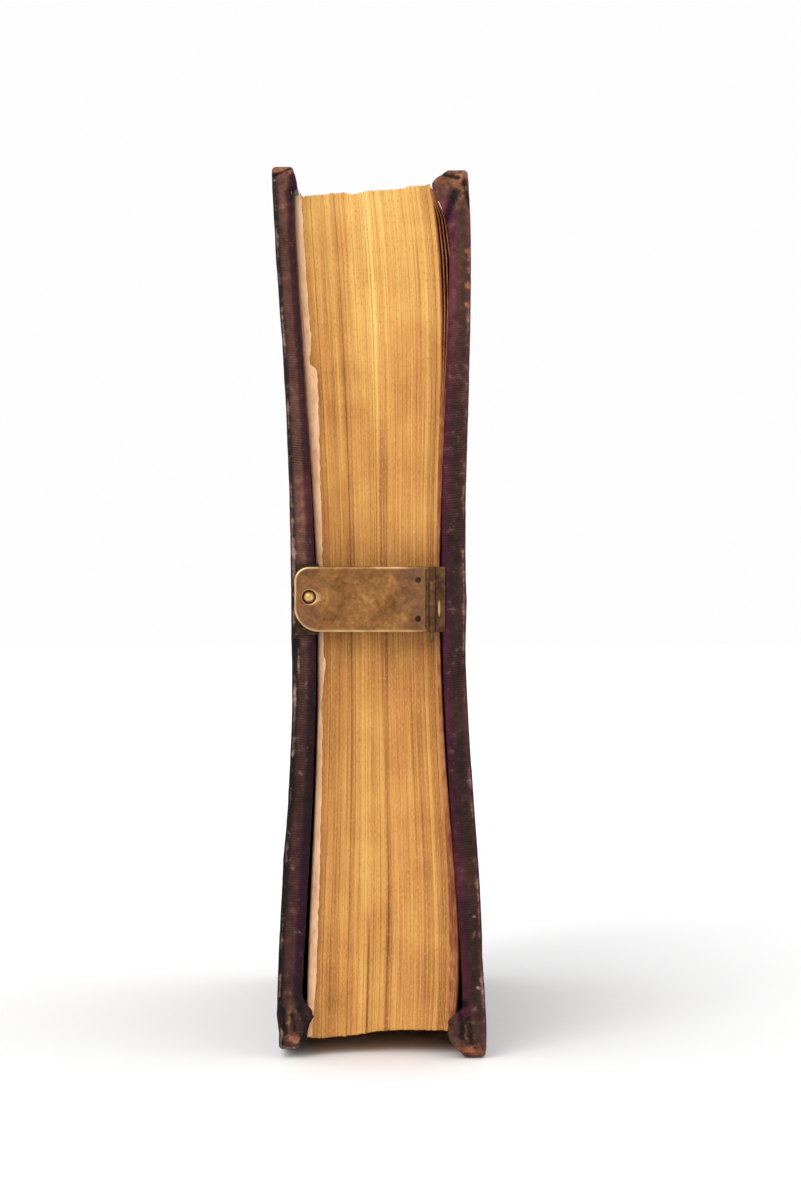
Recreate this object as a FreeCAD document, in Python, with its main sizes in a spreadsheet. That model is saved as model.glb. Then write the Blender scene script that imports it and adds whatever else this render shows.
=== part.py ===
"""Small thick leather-bound book with bowed boards, gilt edges and a brass clasp.

The book stands upright on its tail. +Z is up, the fore-edge faces -Y and the spine +Y.
The front cover is on the -X side and the back cover on the +X side.
The origin is on the floor, under the middle of the book. Lengths are in millimetres.
"""
import FreeCAD, Part
import math
import os
import Sketcher
from FreeCAD import Vector

doc = FreeCAD.newDocument("ClaspedBook")
dims = doc.addObject("Spreadsheet::Sheet", "Dims")

SIZES = {
    "board_width": 98.0,         # joint edge to fore-edge of each cover
    "front_height": 150.6,       # head to tail of the front cover
    "back_height": 150.0,        # head to tail of the back cover
    "core_thick": 2.6,           # pasteboard
    "leather_thick": 0.4,        # covering leather, pared thin
    "fore_edge": 51.3,           # reference plane to the fore-edge of the covers
    "joint_out": 17.2,           # mid-plane to the outer face of each cover, at the joint
    "front_head_out": 17.7,      # the same at the fore-edge, for the bowed front cover
    "front_high_out": 15.7,
    "front_waist_out": 13.9,
    "front_low_out": 14.6,
    "front_tail_out": 16.8,
    "back_head_out": 15.1,       # and for the bowed back cover
    "back_high_out": 14.9,
    "back_waist_out": 14.1,
    "back_low_out": 15.8,
    "back_tail_out": 18.1,
    "high_height": 115.0,        # upper and lower stations of the bowed shapes
    "low_height": 40.0,
    "corner_round": 2.2,         # worn corners of the pasteboard, seen from the side
    "edge_round": 0.7,           # worn arrises of the leather
    "turn_in": 8.0,              # leather folded over on to the inside of the board
    "bumped_rise": 1.4,          # the front cover's tail corner is bumped up by this
    "bumped_run": 15.0,          # over this length
    "joint_gap": 0.3,            # board edge to hinge line of the leather joint
    "block_tail": 3.5,           # floor to the tail edge of the pages
    "block_height": 143.3,
    "block_slip": 1.2,           # the front pages have slipped down by this
    "block_clear": 0.7,          # pages to the inner face of each cover, at the joint
    "block_front_head": 13.3,    # mid-plane to the front pages at the fore-edge
    "block_front_high": 11.3,
    "block_front_waist": 9.6,
    "block_front_low": 10.3,
    "block_front_tail": 11.4,
    "block_back_head": 8.9,      # mid-plane to the back pages at the fore-edge
    "block_back_high": 10.7,
    "block_back_waist": 10.0,
    "block_back_low": 11.5,
    "block_back_tail": 12.0,
    "square": 3.6,               # cover stands past the pages at the fore-edge
    "gutter_depth": 1.8,         # hollow of the rounded fore-edge
    "leaf_thick": 0.3,           # endpaper leaves
    "leaf_gap": 0.05,            # air between an endpaper and the pages
    "leaf_lift_front": 0.25,     # the free endpapers stand off the pages at the fore-edge
    "leaf_lift_back": 0.1,
    "tear_depth": 3.2,           # bites torn from the front endpaper
    "tear_length": 16.0,
    "spine_rise": 5.6,           # roundness of the spine
    "spine_thick": 1.1,          # leather and hollow tube of the spine
    "spine_inset": 0.5,          # edge of the spine leather to the outer face of each cover
    "spine_clear": 0.35,         # spine leather to the edges of the covers
    "lining_thick": 0.3,         # paper glued over the sewing
    "lining_gap": 0.1,
    "band_rise": 0.8,            # raised bands across the spine
    "band_width": 2.6,
    "band_first": 27.0,
    "band_pitch": 24.0,
    "band_count": 5,
    "endband_radius": 0.9,
    "clasp_height": 77.4,        # floor to the middle of the clasp
    "hasp_height": 11.0,
    "hasp_thick": 0.5,
    "hasp_tip": 14.05,           # mid-plane to the free end of the hasp
    "hasp_heel": 8.1,            # mid-plane to the hinge end of the hasp
    "hasp_tip_upper": 2.4,       # rounding of the free end, above and below
    "hasp_tip_lower": 4.2,
    "hasp_bevel": 0.15,
    "plate_thick": 0.4,          # sheet brass of the catch, leaf and anchor
    "plate_return": 2.8,         # plates folded round on to the inside of the board
    "plate_height": 12.0,
    "seat_gap": 0.05,            # return of a plate to the leather under it
    "running_gap": 0.1,          # hasp to catch plate
    "stud_out": 11.6,            # mid-plane to the catch stud
    "stud_above": 0.4,           # stud above the middle of the clasp
    "stud_neck": 0.55,
    "stud_head": 0.9,
    "stud_rise": 0.65,
    "stud_hole": 1.12,
    "hinge_out": 9.1,            # mid-plane to the clasp hinge
    "hinge_stand": 0.75,         # fore-edge of the covers to the clasp hinge
    "knuckle_radius": 0.6,
    "knuckle_gap": 0.1,
    "pin_radius": 0.3,
    "pin_clear": 0.04,
    "pin_tail": 1.7,             # the worn pin has dropped out below by this
    "middle_knuckle": 6.2,
    "leaf_reach": 3.7,           # hinge leaf behind the hasp
    "anchor_reach": 2.2,         # hinge line to the edge of the anchor plate
    "rivet_radius": 0.5,
    "rivet_spread": 3.25,
    "rivet_inset": 1.35,
    "nail_radius": 0.3,
    "nail_head": 0.7,
    "nail_rise": 0.35,
    "nail_length": 1.9,
    "nail_spread": 3.6,
    "trim_over": 1.0,            # working allowance past the edges of the covers
}


def fill_sheet():
    for row, (alias, value) in enumerate(SIZES.items(), start=1):
        dims.set("A%d" % row, alias)
        dims.set("B%d" % row, str(value))
        dims.setAlias("B%d" % row, alias)
    doc.recompute()


def value(formula):
    """Number that a formula over the sheet gives now, for first positions."""
    result = dims.evalExpression(formula)
    return float(getattr(result, "Value", result))


fill_sheet()


def origin_feature(body, role):
    """Plane or axis of the body's own origin."""
    return next(feature for feature in body.Origin.OriginFeatures if feature.Role == role)


def new_body(label):
    body = doc.addObject("PartDesign::Body", label)
    body.Label = label
    return body


def plane_sketch(body, name, role="XY_Plane", offset="0", tilt=None):
    """Sketch on one of the body's own planes, moved along its normal by a formula."""
    sketch = body.newObject("Sketcher::SketchObject", name)
    sketch.AttachmentSupport = [(origin_feature(body, role), "")]
    sketch.MapMode = "FlatFace"
    if tilt is None:
        sketch.setExpression("AttachmentOffset.Base.z", offset)
    else:
        sketch.setExpression(
            "AttachmentOffset", "placement(vector(0; 0; %s); rotation(0; %s; 0))" % (offset, tilt))
    return sketch


def constrain(sketch, rules):
    """Add constraints in one step. A rule is kind, name, formula and what it acts on."""
    indices = sketch.addConstraint([
        Sketcher.Constraint(kind, *where) if formula is None
        else Sketcher.Constraint(kind, *where, value(formula))
        for kind, name, formula, where in rules])
    for index, (kind, name, formula, where) in zip(indices, rules):
        if formula is not None:
            sketch.renameConstraint(index, name)
            sketch.setExpression("Constraints." + name, formula)


def pins(geometry, end, name, across, along):
    """Rules that fix one point of a sketch by formulas for its two coordinates."""
    return [
        ("DistanceX", name + "X", across, (-1, 1, geometry, end)),
        ("DistanceY", name + "Y", along, (-1, 1, geometry, end)),
    ]


def nearest_end(edge, point):
    return 1 if edge.StartPoint.distanceToPoint(point) < edge.EndPoint.distanceToPoint(point) else 2


def anticlockwise_arc(begin, middle, end):
    """Arc through three points, told the way round that a sketch keeps it."""
    turn = (middle - begin).cross(end - middle).z
    return Part.Arc(begin, middle, end) if turn > 0 else Part.Arc(end, middle, begin)


def outline(sketch, corners, crowns=None):
    """Closed outline through corners given by formulas; crowns bend a side into an arc."""
    crowns = crowns or {}
    points = [Vector(value(a), value(b), 0) for a, b in corners]
    count = len(points)
    first = len(sketch.Geometry)
    for number, point in enumerate(points):
        following = points[(number + 1) % count]
        if number in crowns:
            middle = Vector(value(crowns[number][0]), value(crowns[number][1]), 0)
            sketch.addGeometry(anticlockwise_arc(point, middle, following), False)
        else:
            sketch.addGeometry(Part.LineSegment(point, following), False)
    edges = sketch.Geometry
    rules = []
    for number, point in enumerate(points):
        before = first + (number - 1) % count
        edge = first + number
        end = nearest_end(edges[edge], point)
        rules.append(("Coincident", "", None,
                      (before, nearest_end(edges[before], point), edge, end)))
        rules += pins(edge, end, "corner%d" % edge, *corners[number])
    for number, (across, along) in crowns.items():
        spot = sketch.addGeometry(Part.Point(Vector(value(across), value(along), 0)), True)
        rules += pins(spot, 1, "crown%d" % (first + number), across, along)
        rules.append(("PointOnObject", "", None, (spot, 1, first + number)))
    constrain(sketch, rules)
    return sketch


def ring(sketch, radius, across="0", along="0"):
    centre = Vector(value(across), value(along), 0)
    index = sketch.addGeometry(Part.Circle(centre, Vector(0, 0, 1), value(radius)), False)
    rules = pins(index, 3, "centre%d" % index, across, along)
    constrain(sketch, rules + [("Radius", "radius%d" % index, radius, (index,))])
    return sketch


def pad(body, sketch, length, name, reverse=False):
    feature = body.newObject("PartDesign::Pad", name)
    feature.Profile = sketch
    feature.Reversed = reverse
    feature.setExpression("Length", length)
    doc.recompute()
    return feature


def pocket(body, sketch, name):
    """Cut right through the body, both ways from the sketch."""
    feature = body.newObject("PartDesign::Pocket", name)
    feature.Profile = sketch
    feature.Type = "ThroughAll"
    feature.Midplane = True
    before = body.Shape.Volume
    doc.recompute()
    if body.Shape.Volume >= before:
        raise RuntimeError("%s cuts nothing: %s then %s" % (name, before, body.Shape.Volume))
    return feature


def dress_edges(body, kind, name, extent, wanted):
    """Fillet or chamfer the edges of the body that a test picks."""
    base = body.Tip
    picked = ["Edge%d" % number for number, edge in enumerate(base.Shape.Edges, start=1)
              if wanted(edge)]
    feature = body.newObject("PartDesign::" + kind, name)
    feature.Base = (base, picked)
    feature.setExpression("Radius" if kind == "Fillet" else "Size", extent)
    doc.recompute()
    return feature


def loft(body, sections, name):
    feature = body.newObject("PartDesign::AdditiveLoft", name)
    feature.Profile = sections[0]
    feature.Sections = sections[1:]
    doc.recompute()
    return feature


# The covers. Each is bowed: drawn in at the waist of its fore-edge by the clasp and straight
# along its joint. A layer of a cover is lofted upwards through its tail, waist and head.

SIDES = {"front": "-1", "back": "1"}
COVER = "(Dims.core_thick + 2 * Dims.leather_thick)"
JOINT_EDGE = "(Dims.board_width - Dims.fore_edge)"
BLOCK_HALF = "(Dims.joint_out - %s - Dims.block_clear)" % COVER
SPINE_HALF = "(Dims.joint_out - Dims.spine_inset)"
# how far a quarter round's crown lies in from each side of its corner, as a share of the radius
QUARTER_CROWN = 1 - math.sqrt(0.5)


def cover_section(sketch, side, station, outer, inner, inset):
    """One cross-section of a cover layer, from depth outer to depth inner below its outer face."""
    sign = SIDES[side]
    spread = "Dims.%s_%s_out" % (side, station)
    front_line = "-(Dims.fore_edge - %s)" % inset
    return outline(sketch, [
        ("%s * (Dims.joint_out - %s)" % (sign, outer), JOINT_EDGE),
        ("%s * (%s - %s)" % (sign, spread, outer), front_line),
        ("%s * (%s - %s)" % (sign, spread, inner), front_line),
        ("%s * (Dims.joint_out - %s)" % (sign, inner), JOINT_EDGE),
    ])


def cover_layer(body, side, outer, inner, inset):
    """Lofted layer of a cover, a little taller than the cover itself."""
    stations = {
        "tail": "-Dims.trim_over",
        "low": "Dims.low_height",
        "waist": "Dims.clasp_height",
        "high": "Dims.high_height",
        "head": "Dims.%s_height + Dims.trim_over" % side,
    }
    sections = []
    for station, height in stations.items():
        sketch = plane_sketch(body, "%s_%s" % (body.Label, station), offset=height)
        sections.append(cover_section(sketch, side, station, outer, inner, inset))
    return loft(body, sections, body.Label + "_loft")


def trim_to_side_view(body, side, inset, corner):
    """Cut a cover layer to its outline as seen from the side, with its worn corners."""
    sketch = plane_sketch(body, body.Label + "_side_view", "YZ_Plane")
    fore = "(-Dims.fore_edge + %s)" % inset
    tail = "(%s)" % inset
    head = "(Dims.%s_height - %s)" % (side, inset)
    rise = "0"
    corners = []
    if side == "front":
        rise = "Dims.bumped_rise"
        corners.append(("-Dims.fore_edge + Dims.bumped_run", tail))
    past_joint = JOINT_EDGE + " + Dims.trim_over"
    near = "%.6f * %s" % (QUARTER_CROWN, corner)
    first = len(corners)
    corners = [(past_joint, tail)] + corners + [
        ("%s + %s" % (fore, corner), "%s + %s" % (tail, rise)),
        (fore, "%s + %s + %s" % (tail, rise, corner)),
        (fore, "%s - %s" % (head, corner)),
        ("%s + %s" % (fore, corner), head),
        (past_joint, head),
    ]
    outline(sketch, corners, {
        first + 1: ("%s + %s" % (fore, near), "%s + %s + %s" % (tail, rise, near)),
        first + 3: ("%s + %s" % (fore, near), "%s - %s" % (head, near)),
    })
    over = "2 * Dims.trim_over"
    outline(sketch, [
        ("-Dims.fore_edge - " + over, "-" + over),
        (JOINT_EDGE + " + " + over, "-" + over),
        (JOINT_EDGE + " + " + over, "Dims.%s_height + %s" % (side, over)),
        ("-Dims.fore_edge - " + over, "Dims.%s_height + %s" % (side, over)),
    ])
    pocket(body, sketch, body.Label + "_trimmed")


def along_rim(edge):
    """Edges round the rim of a cover, apart from those at the joint or across its thickness."""
    box = edge.BoundBox
    across = box.YLength < 0.05 and box.ZLength < 0.05
    return not across and box.YMin < value(JOINT_EDGE) - 0.01


def cover_form(side, label, outer, inner, inset, corner, rim=None):
    body = new_body(label)
    cover_layer(body, side, outer, inner, inset)
    trim_to_side_view(body, side, inset, corner)
    if rim:
        dress_edges(body, "Fillet", label + "_rim", rim, along_rim)
    return body


def build_cover(side, nails):
    board = cover_form(
        side, side + "_board_form", "Dims.leather_thick",
        "(Dims.core_thick + Dims.leather_thick)", "Dims.leather_thick", "Dims.corner_round")
    skin = cover_form(
        side, side + "_skin_form", "0", COVER, "0",
        "(Dims.corner_round + Dims.leather_thick)", "Dims.edge_round")
    inner_half = new_body(side + "_inner_half")
    cover_layer(inner_half, side, "%s / 2" % COVER, "(%s + Dims.trim_over)" % COVER, "0")

    window = doc.addObject("Part::Box", side + "_window")
    window.setExpression("Length", "Dims.board_width")
    window.setExpression("Width", "Dims.board_width - Dims.turn_in + Dims.trim_over")
    window.setExpression("Height", "Dims.%s_height - 2 * Dims.turn_in" % side)
    window.setExpression("Placement.Base.x", "-Length / 2")
    window.setExpression("Placement.Base.y", "-Dims.fore_edge + Dims.turn_in")
    window.setExpression("Placement.Base.z", "Dims.turn_in")

    bed = boolean("Part::Common", side + "_bed", inner_half, window)
    wrap = boolean("Part::Cut", side + "_wrap", skin, board)
    folded = boolean("Part::Cut", side + "_folded", wrap, bed)
    return {
        side + "_pastedown": boolean("Part::Common", side + "_pastedown", wrap, bed),
        side + "_leather": boolean("Part::Cut", side + "_leather", folded, nails),
        side + "_board": boolean("Part::Cut", side + "_board", board, nails),
    }


def boolean(kind, label, base, tool):
    result = doc.addObject(kind, label)
    result.Label = label
    result.Base = base
    result.Tool = tool
    doc.recompute()
    return result


# The pages are one block, bowed like the covers, with a hollow fore-edge and a round back.
# The front pages have slipped towards the tail, so the head and tail edges slope.

BLOCK_FRONT = "-(Dims.fore_edge - Dims.square)"
BLOCK_BACK = "(%s - Dims.joint_gap)" % JOINT_EDGE
SLOPE = "-asin(Dims.block_slip / (2 * %s))" % BLOCK_HALF
BACK_CROWN = "(%s + Dims.spine_rise - Dims.spine_thick - Dims.lining_thick - 2 * Dims.lining_gap)" \
    % BLOCK_BACK


BLOCK_STATIONS = {
    "tail": "Dims.block_tail",
    "low": "Dims.low_height",
    "waist": "Dims.clasp_height",
    "high": "Dims.high_height",
    "head": "Dims.block_tail + Dims.block_height",
}


def build_text_block():
    body = new_body("text_block")
    sections = []
    for station, height in BLOCK_STATIONS.items():
        sketch = plane_sketch(body, "block_" + station, offset=height, tilt=SLOPE)
        left = "-Dims.block_front_" + station
        right = "Dims.block_back_" + station
        outline(sketch, [
            ("-" + BLOCK_HALF, BLOCK_BACK),
            (left, BLOCK_FRONT),
            (right, BLOCK_FRONT),
            (BLOCK_HALF, BLOCK_BACK),
        ], {
            1: ("(%s + %s) / 2" % (left, right), BLOCK_FRONT + " + Dims.gutter_depth"),
            3: ("0", BACK_CROWN),
        })
        sections.append(sketch)
    loft(body, sections, "pages")
    return body


def build_endpaper(side):
    """Free leaf between the pages and a cover, standing a little off at the fore-edge."""
    body = new_body(side + "_flyleaf")
    sign = SIDES[side]
    at_joint = "(%s + Dims.leaf_gap)" % BLOCK_HALF
    sections = []
    for station, height in BLOCK_STATIONS.items():
        sketch = plane_sketch(body, "%s_leaf_%s" % (side, station), offset=height, tilt=SLOPE)
        at_fore = "(Dims.block_%s_%s + Dims.leaf_lift_%s)" % (side, station, side)
        outline(sketch, [
            ("%s * (%s + Dims.leaf_thick)" % (sign, at_joint), BLOCK_BACK),
            ("%s * (%s + Dims.leaf_thick)" % (sign, at_fore), BLOCK_FRONT),
            ("%s * %s" % (sign, at_fore), BLOCK_FRONT),
            ("%s * %s" % (sign, at_joint), BLOCK_BACK),
        ])
        sections.append(sketch)
    loft(body, sections, side + "_leaf")
    return body


# each tear's start, as a share of the pages' height, and its share of the deepest bite
TEARS = ((0.28, 0.5), (0.40, 0.65), (0.60, 0.8), (0.86, 0.95))
TEAR_POINT = 0.4


def tear_front_leaf(body):
    """Bites torn out of the fore-edge of the front endpaper, each a crooked triangle."""
    for number, (share, depth) in enumerate(TEARS):
        low = "Dims.block_tail + Dims.block_height * %s" % share
        sketch = plane_sketch(body, "tear%d" % number, "YZ_Plane")
        outline(sketch, [
            (BLOCK_FRONT + " - Dims.trim_over", low),
            ("%s + Dims.tear_depth * %s" % (BLOCK_FRONT, depth),
             "%s + Dims.tear_length * %s" % (low, TEAR_POINT)),
            (BLOCK_FRONT + " - Dims.trim_over", "%s + Dims.tear_length" % low),
        ])
        pocket(body, sketch, "torn%d" % number)


def spine_arc(body, name, offset, inner, outer):
    """Crescent of the round spine between two depths, inner and outer, at a height."""
    sketch = plane_sketch(body, name, offset=offset)
    base = "(%s + Dims.joint_gap + Dims.spine_clear)" % JOINT_EDGE
    crown = base + " + Dims.spine_rise"
    return outline(sketch, [
        ("-" + SPINE_HALF, base),
        ("-(%s - %s - Dims.spine_thick / 2)" % (SPINE_HALF, inner), base),
        ("%s - %s - Dims.spine_thick / 2" % (SPINE_HALF, inner), base),
        (SPINE_HALF, base),
    ], {
        1: ("0", "%s - %s" % (crown, inner)),
        3: ("0", "%s + %s" % (crown, outer)),
    })


def build_spine():
    body = new_body("spine_leather")
    sketch = spine_arc(body, "spine_section", "0", "Dims.spine_thick", "0")
    pad(body, sketch, "Dims.back_height", "spine_tube")
    band_sketch = spine_arc(
        body, "band_section", "Dims.band_first - Dims.band_width / 2",
        "Dims.spine_thick / 2", "Dims.band_rise")
    band = pad(body, band_sketch, "Dims.band_width", "band")
    bands = body.newObject("PartDesign::LinearPattern", "bands")
    bands.Originals = [band]
    bands.Direction = (origin_feature(body, "Z_Axis"), [""])
    bands.Mode = "Spacing"
    bands.setExpression("Offset", "Dims.band_pitch")
    bands.setExpression("Occurrences", "Dims.band_count")
    body.Tip = bands
    doc.recompute()
    return body


def build_lining():
    body = new_body("spine_lining")
    edge = "(%s - Dims.lining_gap)" % BLOCK_HALF
    sections = []
    for station in ("tail", "head"):
        sketch = plane_sketch(
            body, "lining_" + station, offset=BLOCK_STATIONS[station], tilt=SLOPE)
        outline(sketch, [
            ("-%s" % edge, BLOCK_BACK + " + Dims.lining_gap"),
            (edge, BLOCK_BACK + " + Dims.lining_gap"),
            (edge, BLOCK_BACK + " + Dims.lining_gap + Dims.lining_thick"),
            ("-%s" % edge, BLOCK_BACK + " + Dims.lining_gap + Dims.lining_thick"),
        ], {
            0: ("0", BACK_CROWN + " + Dims.lining_gap"),
            2: ("0", BACK_CROWN + " + Dims.lining_gap + Dims.lining_thick"),
        })
        sections.append(sketch)
    loft(body, sections, "lining")
    return body


# slanted arrises that make the endbands eight-sided, as a share of their radius
ENDBAND_SLANT = 0.58


def build_endband(label, height):
    """Worked roll of thread that sits on the pages behind the spine."""
    body = new_body(label)
    sketch = plane_sketch(body, label + "_section", offset=height, tilt=SLOPE)
    deep = "2 * Dims.endband_radius"
    edge = "(%s - Dims.endband_radius)" % BLOCK_HALF
    outline(sketch, [
        ("-%s" % edge, "%s - %s" % (BLOCK_BACK, deep)),
        (edge, "%s - %s" % (BLOCK_BACK, deep)),
        (edge, BLOCK_BACK),
        ("-%s" % edge, BLOCK_BACK),
    ], {
        0: ("0", "%s - %s" % (BACK_CROWN, deep)),
        2: ("0", BACK_CROWN),
    })
    pad(body, sketch, deep, label + "_roll")
    length = value(BLOCK_HALF)
    dress_edges(body, "Chamfer", label + "_round", "Dims.endband_radius * %s" % ENDBAND_SLANT,
                lambda edge: edge.Length > length)
    return body


# The clasp. The catch plate and its stud sit on the front cover, the anchor plate on the back
# cover, and the hasp swings on a pin in the anchor's knuckles.

CLASP_LOW = "(Dims.clasp_height - Dims.hasp_height / 2)"
PLATE_LOW = "(Dims.clasp_height - Dims.plate_height / 2)"
PLATE_FACE = "(-Dims.fore_edge - Dims.plate_thick)"
HINGE_Y = "(-Dims.fore_edge - Dims.hinge_stand)"
HASP_BACK = "(Dims.fore_edge + Dims.plate_thick + Dims.running_gap)"
MIDDLE_LOW = "(Dims.clasp_height - Dims.middle_knuckle / 2)"


def nail_holes(body, label):
    """Two holes through the return of a plate, one above the other."""
    sketch = plane_sketch(body, label + "_holes", "YZ_Plane")
    across = "-Dims.fore_edge + Dims.plate_return / 2"
    for step in ("-1", "1"):
        ring(sketch, "Dims.nail_radius", across, "Dims.clasp_height + %s * Dims.nail_spread" % step)
    return sketch


def build_catch_plate():
    body = new_body("catch_plate")
    sketch = plane_sketch(body, "catch_section", offset=PLATE_LOW)
    outer = "-Dims.front_waist_out"
    inner = "-(Dims.front_waist_out - %s - Dims.seat_gap)" % COVER
    back = "-Dims.fore_edge + Dims.plate_return"
    outline(sketch, [
        (outer, "-Dims.fore_edge"),
        (outer, PLATE_FACE),
        (inner + " + Dims.plate_thick", PLATE_FACE),
        (inner + " + Dims.plate_thick", back),
        (inner, back),
        (inner, "-Dims.fore_edge"),
    ])
    pad(body, sketch, "Dims.plate_height", "catch_sheet")
    stud_sketch = plane_sketch(body, "stud_hole", "XZ_Plane", "Dims.fore_edge")
    ring(stud_sketch, "Dims.stud_neck", "-Dims.stud_out", "Dims.clasp_height + Dims.stud_above")
    pocket(body, stud_sketch, "stud_bore")
    pocket(body, nail_holes(body, "catch"), "catch_nail_bores")
    return body


def dome(radius, rise, base):
    """Crown point of a domed head, on a sphere whose centre lies on its axis."""
    sphere = "((%s ^ 2 + %s ^ 2) / (2 * %s))" % (radius, rise, rise)
    across = "(%s / 2)" % radius
    return across, "%s + %s - %s + sqrt(%s ^ 2 - %s ^ 2)" % (base, rise, sphere, sphere, across)


def build_catch_stud():
    """Turned stud with a domed head that the hasp snaps over."""
    body = new_body("catch_stud")
    sketch = plane_sketch(body, "stud_profile", "XZ_Plane")
    neck = "(Dims.plate_thick + Dims.running_gap + Dims.hasp_thick)"
    outline(sketch, [
        ("0", "0"),
        ("Dims.stud_neck", "0"),
        ("Dims.stud_neck", neck),
        ("Dims.stud_head", neck),
        ("0", neck + " + Dims.stud_rise"),
    ], {3: dome("Dims.stud_head", "Dims.stud_rise", neck)})
    turn = body.newObject("PartDesign::Revolution", "stud_turned")
    turn.Profile = sketch
    turn.ReferenceAxis = (sketch, ["V_Axis"])
    turn.Angle = 360
    body.setExpression(
        "Placement",
        "placement(vector(-Dims.stud_out; -Dims.fore_edge; Dims.clasp_height + Dims.stud_above);"
        " rotation(0; 0; 90))")
    doc.recompute()
    return body


def build_anchor_plate():
    """Plate on the back cover, with the two outer knuckles of the hinge."""
    body = new_body("anchor_plate")
    sketch = plane_sketch(body, "anchor_section", offset=CLASP_LOW)
    inner = "(Dims.back_waist_out - %s - Dims.seat_gap)" % COVER
    back = "-Dims.fore_edge + Dims.plate_return"
    outline(sketch, [
        ("Dims.hinge_out", "-Dims.fore_edge"),
        ("Dims.hinge_out", PLATE_FACE),
        ("Dims.hinge_out + Dims.anchor_reach", PLATE_FACE),
        ("Dims.hinge_out + Dims.anchor_reach", "-Dims.fore_edge"),
        (inner, "-Dims.fore_edge"),
        (inner, back),
        (inner + " - Dims.plate_thick", back),
        (inner + " - Dims.plate_thick", "-Dims.fore_edge"),
    ])
    pad(body, sketch, "Dims.hasp_height", "anchor_sheet")
    knuckles = plane_sketch(body, "anchor_barrel", offset=CLASP_LOW)
    ring(knuckles, "Dims.knuckle_radius", "Dims.hinge_out", HINGE_Y)
    pad(body, knuckles, "Dims.hasp_height", "anchor_knuckles")
    room = plane_sketch(body, "knuckle_room", "XZ_Plane")
    low = "%s - Dims.knuckle_gap" % MIDDLE_LOW
    high = "%s + Dims.middle_knuckle + Dims.knuckle_gap" % MIDDLE_LOW
    left = "Dims.hinge_out - Dims.knuckle_radius - Dims.trim_over"
    right = "Dims.hinge_out + Dims.knuckle_radius + Dims.knuckle_gap"
    outline(room, [(left, low), (right, low), (right, high), (left, high)])
    pocket(body, room, "knuckle_notch")
    bore = plane_sketch(body, "anchor_bore")
    ring(bore, "Dims.pin_radius + Dims.pin_clear", "Dims.hinge_out", HINGE_Y)
    pocket(body, bore, "anchor_bored")
    pocket(body, nail_holes(body, "anchor"), "anchor_nail_bores")
    return body


def build_hasp_plate():
    body = new_body("hasp_plate")
    sketch = plane_sketch(body, "hasp_outline", "XZ_Plane", HASP_BACK)
    high = CLASP_LOW + " + Dims.hasp_height"
    outline(sketch, [
        ("-Dims.hasp_tip", CLASP_LOW),
        ("Dims.hasp_heel", CLASP_LOW),
        ("Dims.hasp_heel", high),
        ("-Dims.hasp_tip", high),
    ])
    pad(body, sketch, "Dims.hasp_thick", "hasp_sheet")
    tip = -value("Dims.hasp_tip")
    middle = value("Dims.clasp_height")

    def end_corner(upper):
        return lambda edge: edge.BoundBox.XMax < tip + 0.01 and edge.BoundBox.ZLength < 0.01 \
            and (edge.BoundBox.ZMin > middle) == upper
    dress_edges(body, "Fillet", "tip_lower", "Dims.hasp_tip_lower", end_corner(False))
    dress_edges(body, "Fillet", "tip_upper", "Dims.hasp_tip_upper", end_corner(True))
    front = -value(HASP_BACK) - value("Dims.hasp_thick")
    dress_edges(body, "Chamfer", "worn_bevel", "Dims.hasp_bevel",
                lambda edge: edge.BoundBox.YMax < front + 0.01)
    holes = plane_sketch(body, "hasp_holes", "XZ_Plane", "Dims.fore_edge")
    ring(holes, "Dims.stud_hole", "-Dims.stud_out", "Dims.clasp_height + Dims.stud_above")
    pocket(body, holes, "stud_slot")
    pocket(body, rivet_sketch(body), "rivet_bores")
    return body


def rivet_sketch(body):
    sketch = plane_sketch(body, body.Label + "_rivets", "XZ_Plane", "Dims.fore_edge")
    for step in ("-1", "1"):
        ring(sketch, "Dims.rivet_radius", "Dims.hasp_heel - Dims.rivet_inset",
             "Dims.clasp_height + %s * Dims.rivet_spread" % step)
    return sketch


def build_hasp_leaf():
    """Leaf riveted behind the hasp, with the middle knuckle of the hinge."""
    body = new_body("hasp_leaf")
    face = "(Dims.fore_edge + Dims.running_gap)"
    leaf = plane_sketch(body, "leaf_outline", "XZ_Plane", face)
    left = "Dims.hinge_out - Dims.leaf_reach"
    shoulder = "Dims.hinge_out - Dims.knuckle_radius - Dims.knuckle_gap"
    low = CLASP_LOW + " + Dims.plate_thick"
    high = CLASP_LOW + " + Dims.hasp_height - Dims.plate_thick"
    top = MIDDLE_LOW + " + Dims.middle_knuckle"
    outline(leaf, [
        (left, low), (shoulder, low), (shoulder, MIDDLE_LOW), ("Dims.hinge_out", MIDDLE_LOW),
        ("Dims.hinge_out", top), (shoulder, top), (shoulder, high), (left, high)])
    pad(body, leaf, "Dims.plate_thick", "leaf_sheet")
    knuckle = plane_sketch(body, "leaf_barrel", offset=MIDDLE_LOW)
    ring(knuckle, "Dims.knuckle_radius", "Dims.hinge_out", HINGE_Y)
    pad(body, knuckle, "Dims.middle_knuckle", "leaf_knuckle")
    bore = plane_sketch(body, "leaf_bore")
    ring(bore, "Dims.pin_radius + Dims.pin_clear", "Dims.hinge_out", HINGE_Y)
    pocket(body, bore, "leaf_bored")
    pocket(body, rivet_sketch(body), "leaf_rivet_bores")
    return body


def build_hinge_pin():
    """Steel pin, a little long, that has worked down out of its knuckles."""
    body = new_body("hinge_pin")
    sketch = plane_sketch(body, "pin_section", offset="%s - Dims.pin_tail" % CLASP_LOW)
    ring(sketch, "Dims.pin_radius", "Dims.hinge_out", HINGE_Y)
    pad(body, sketch, "Dims.hasp_height + Dims.pin_tail", "pin_wire")
    return body


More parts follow.
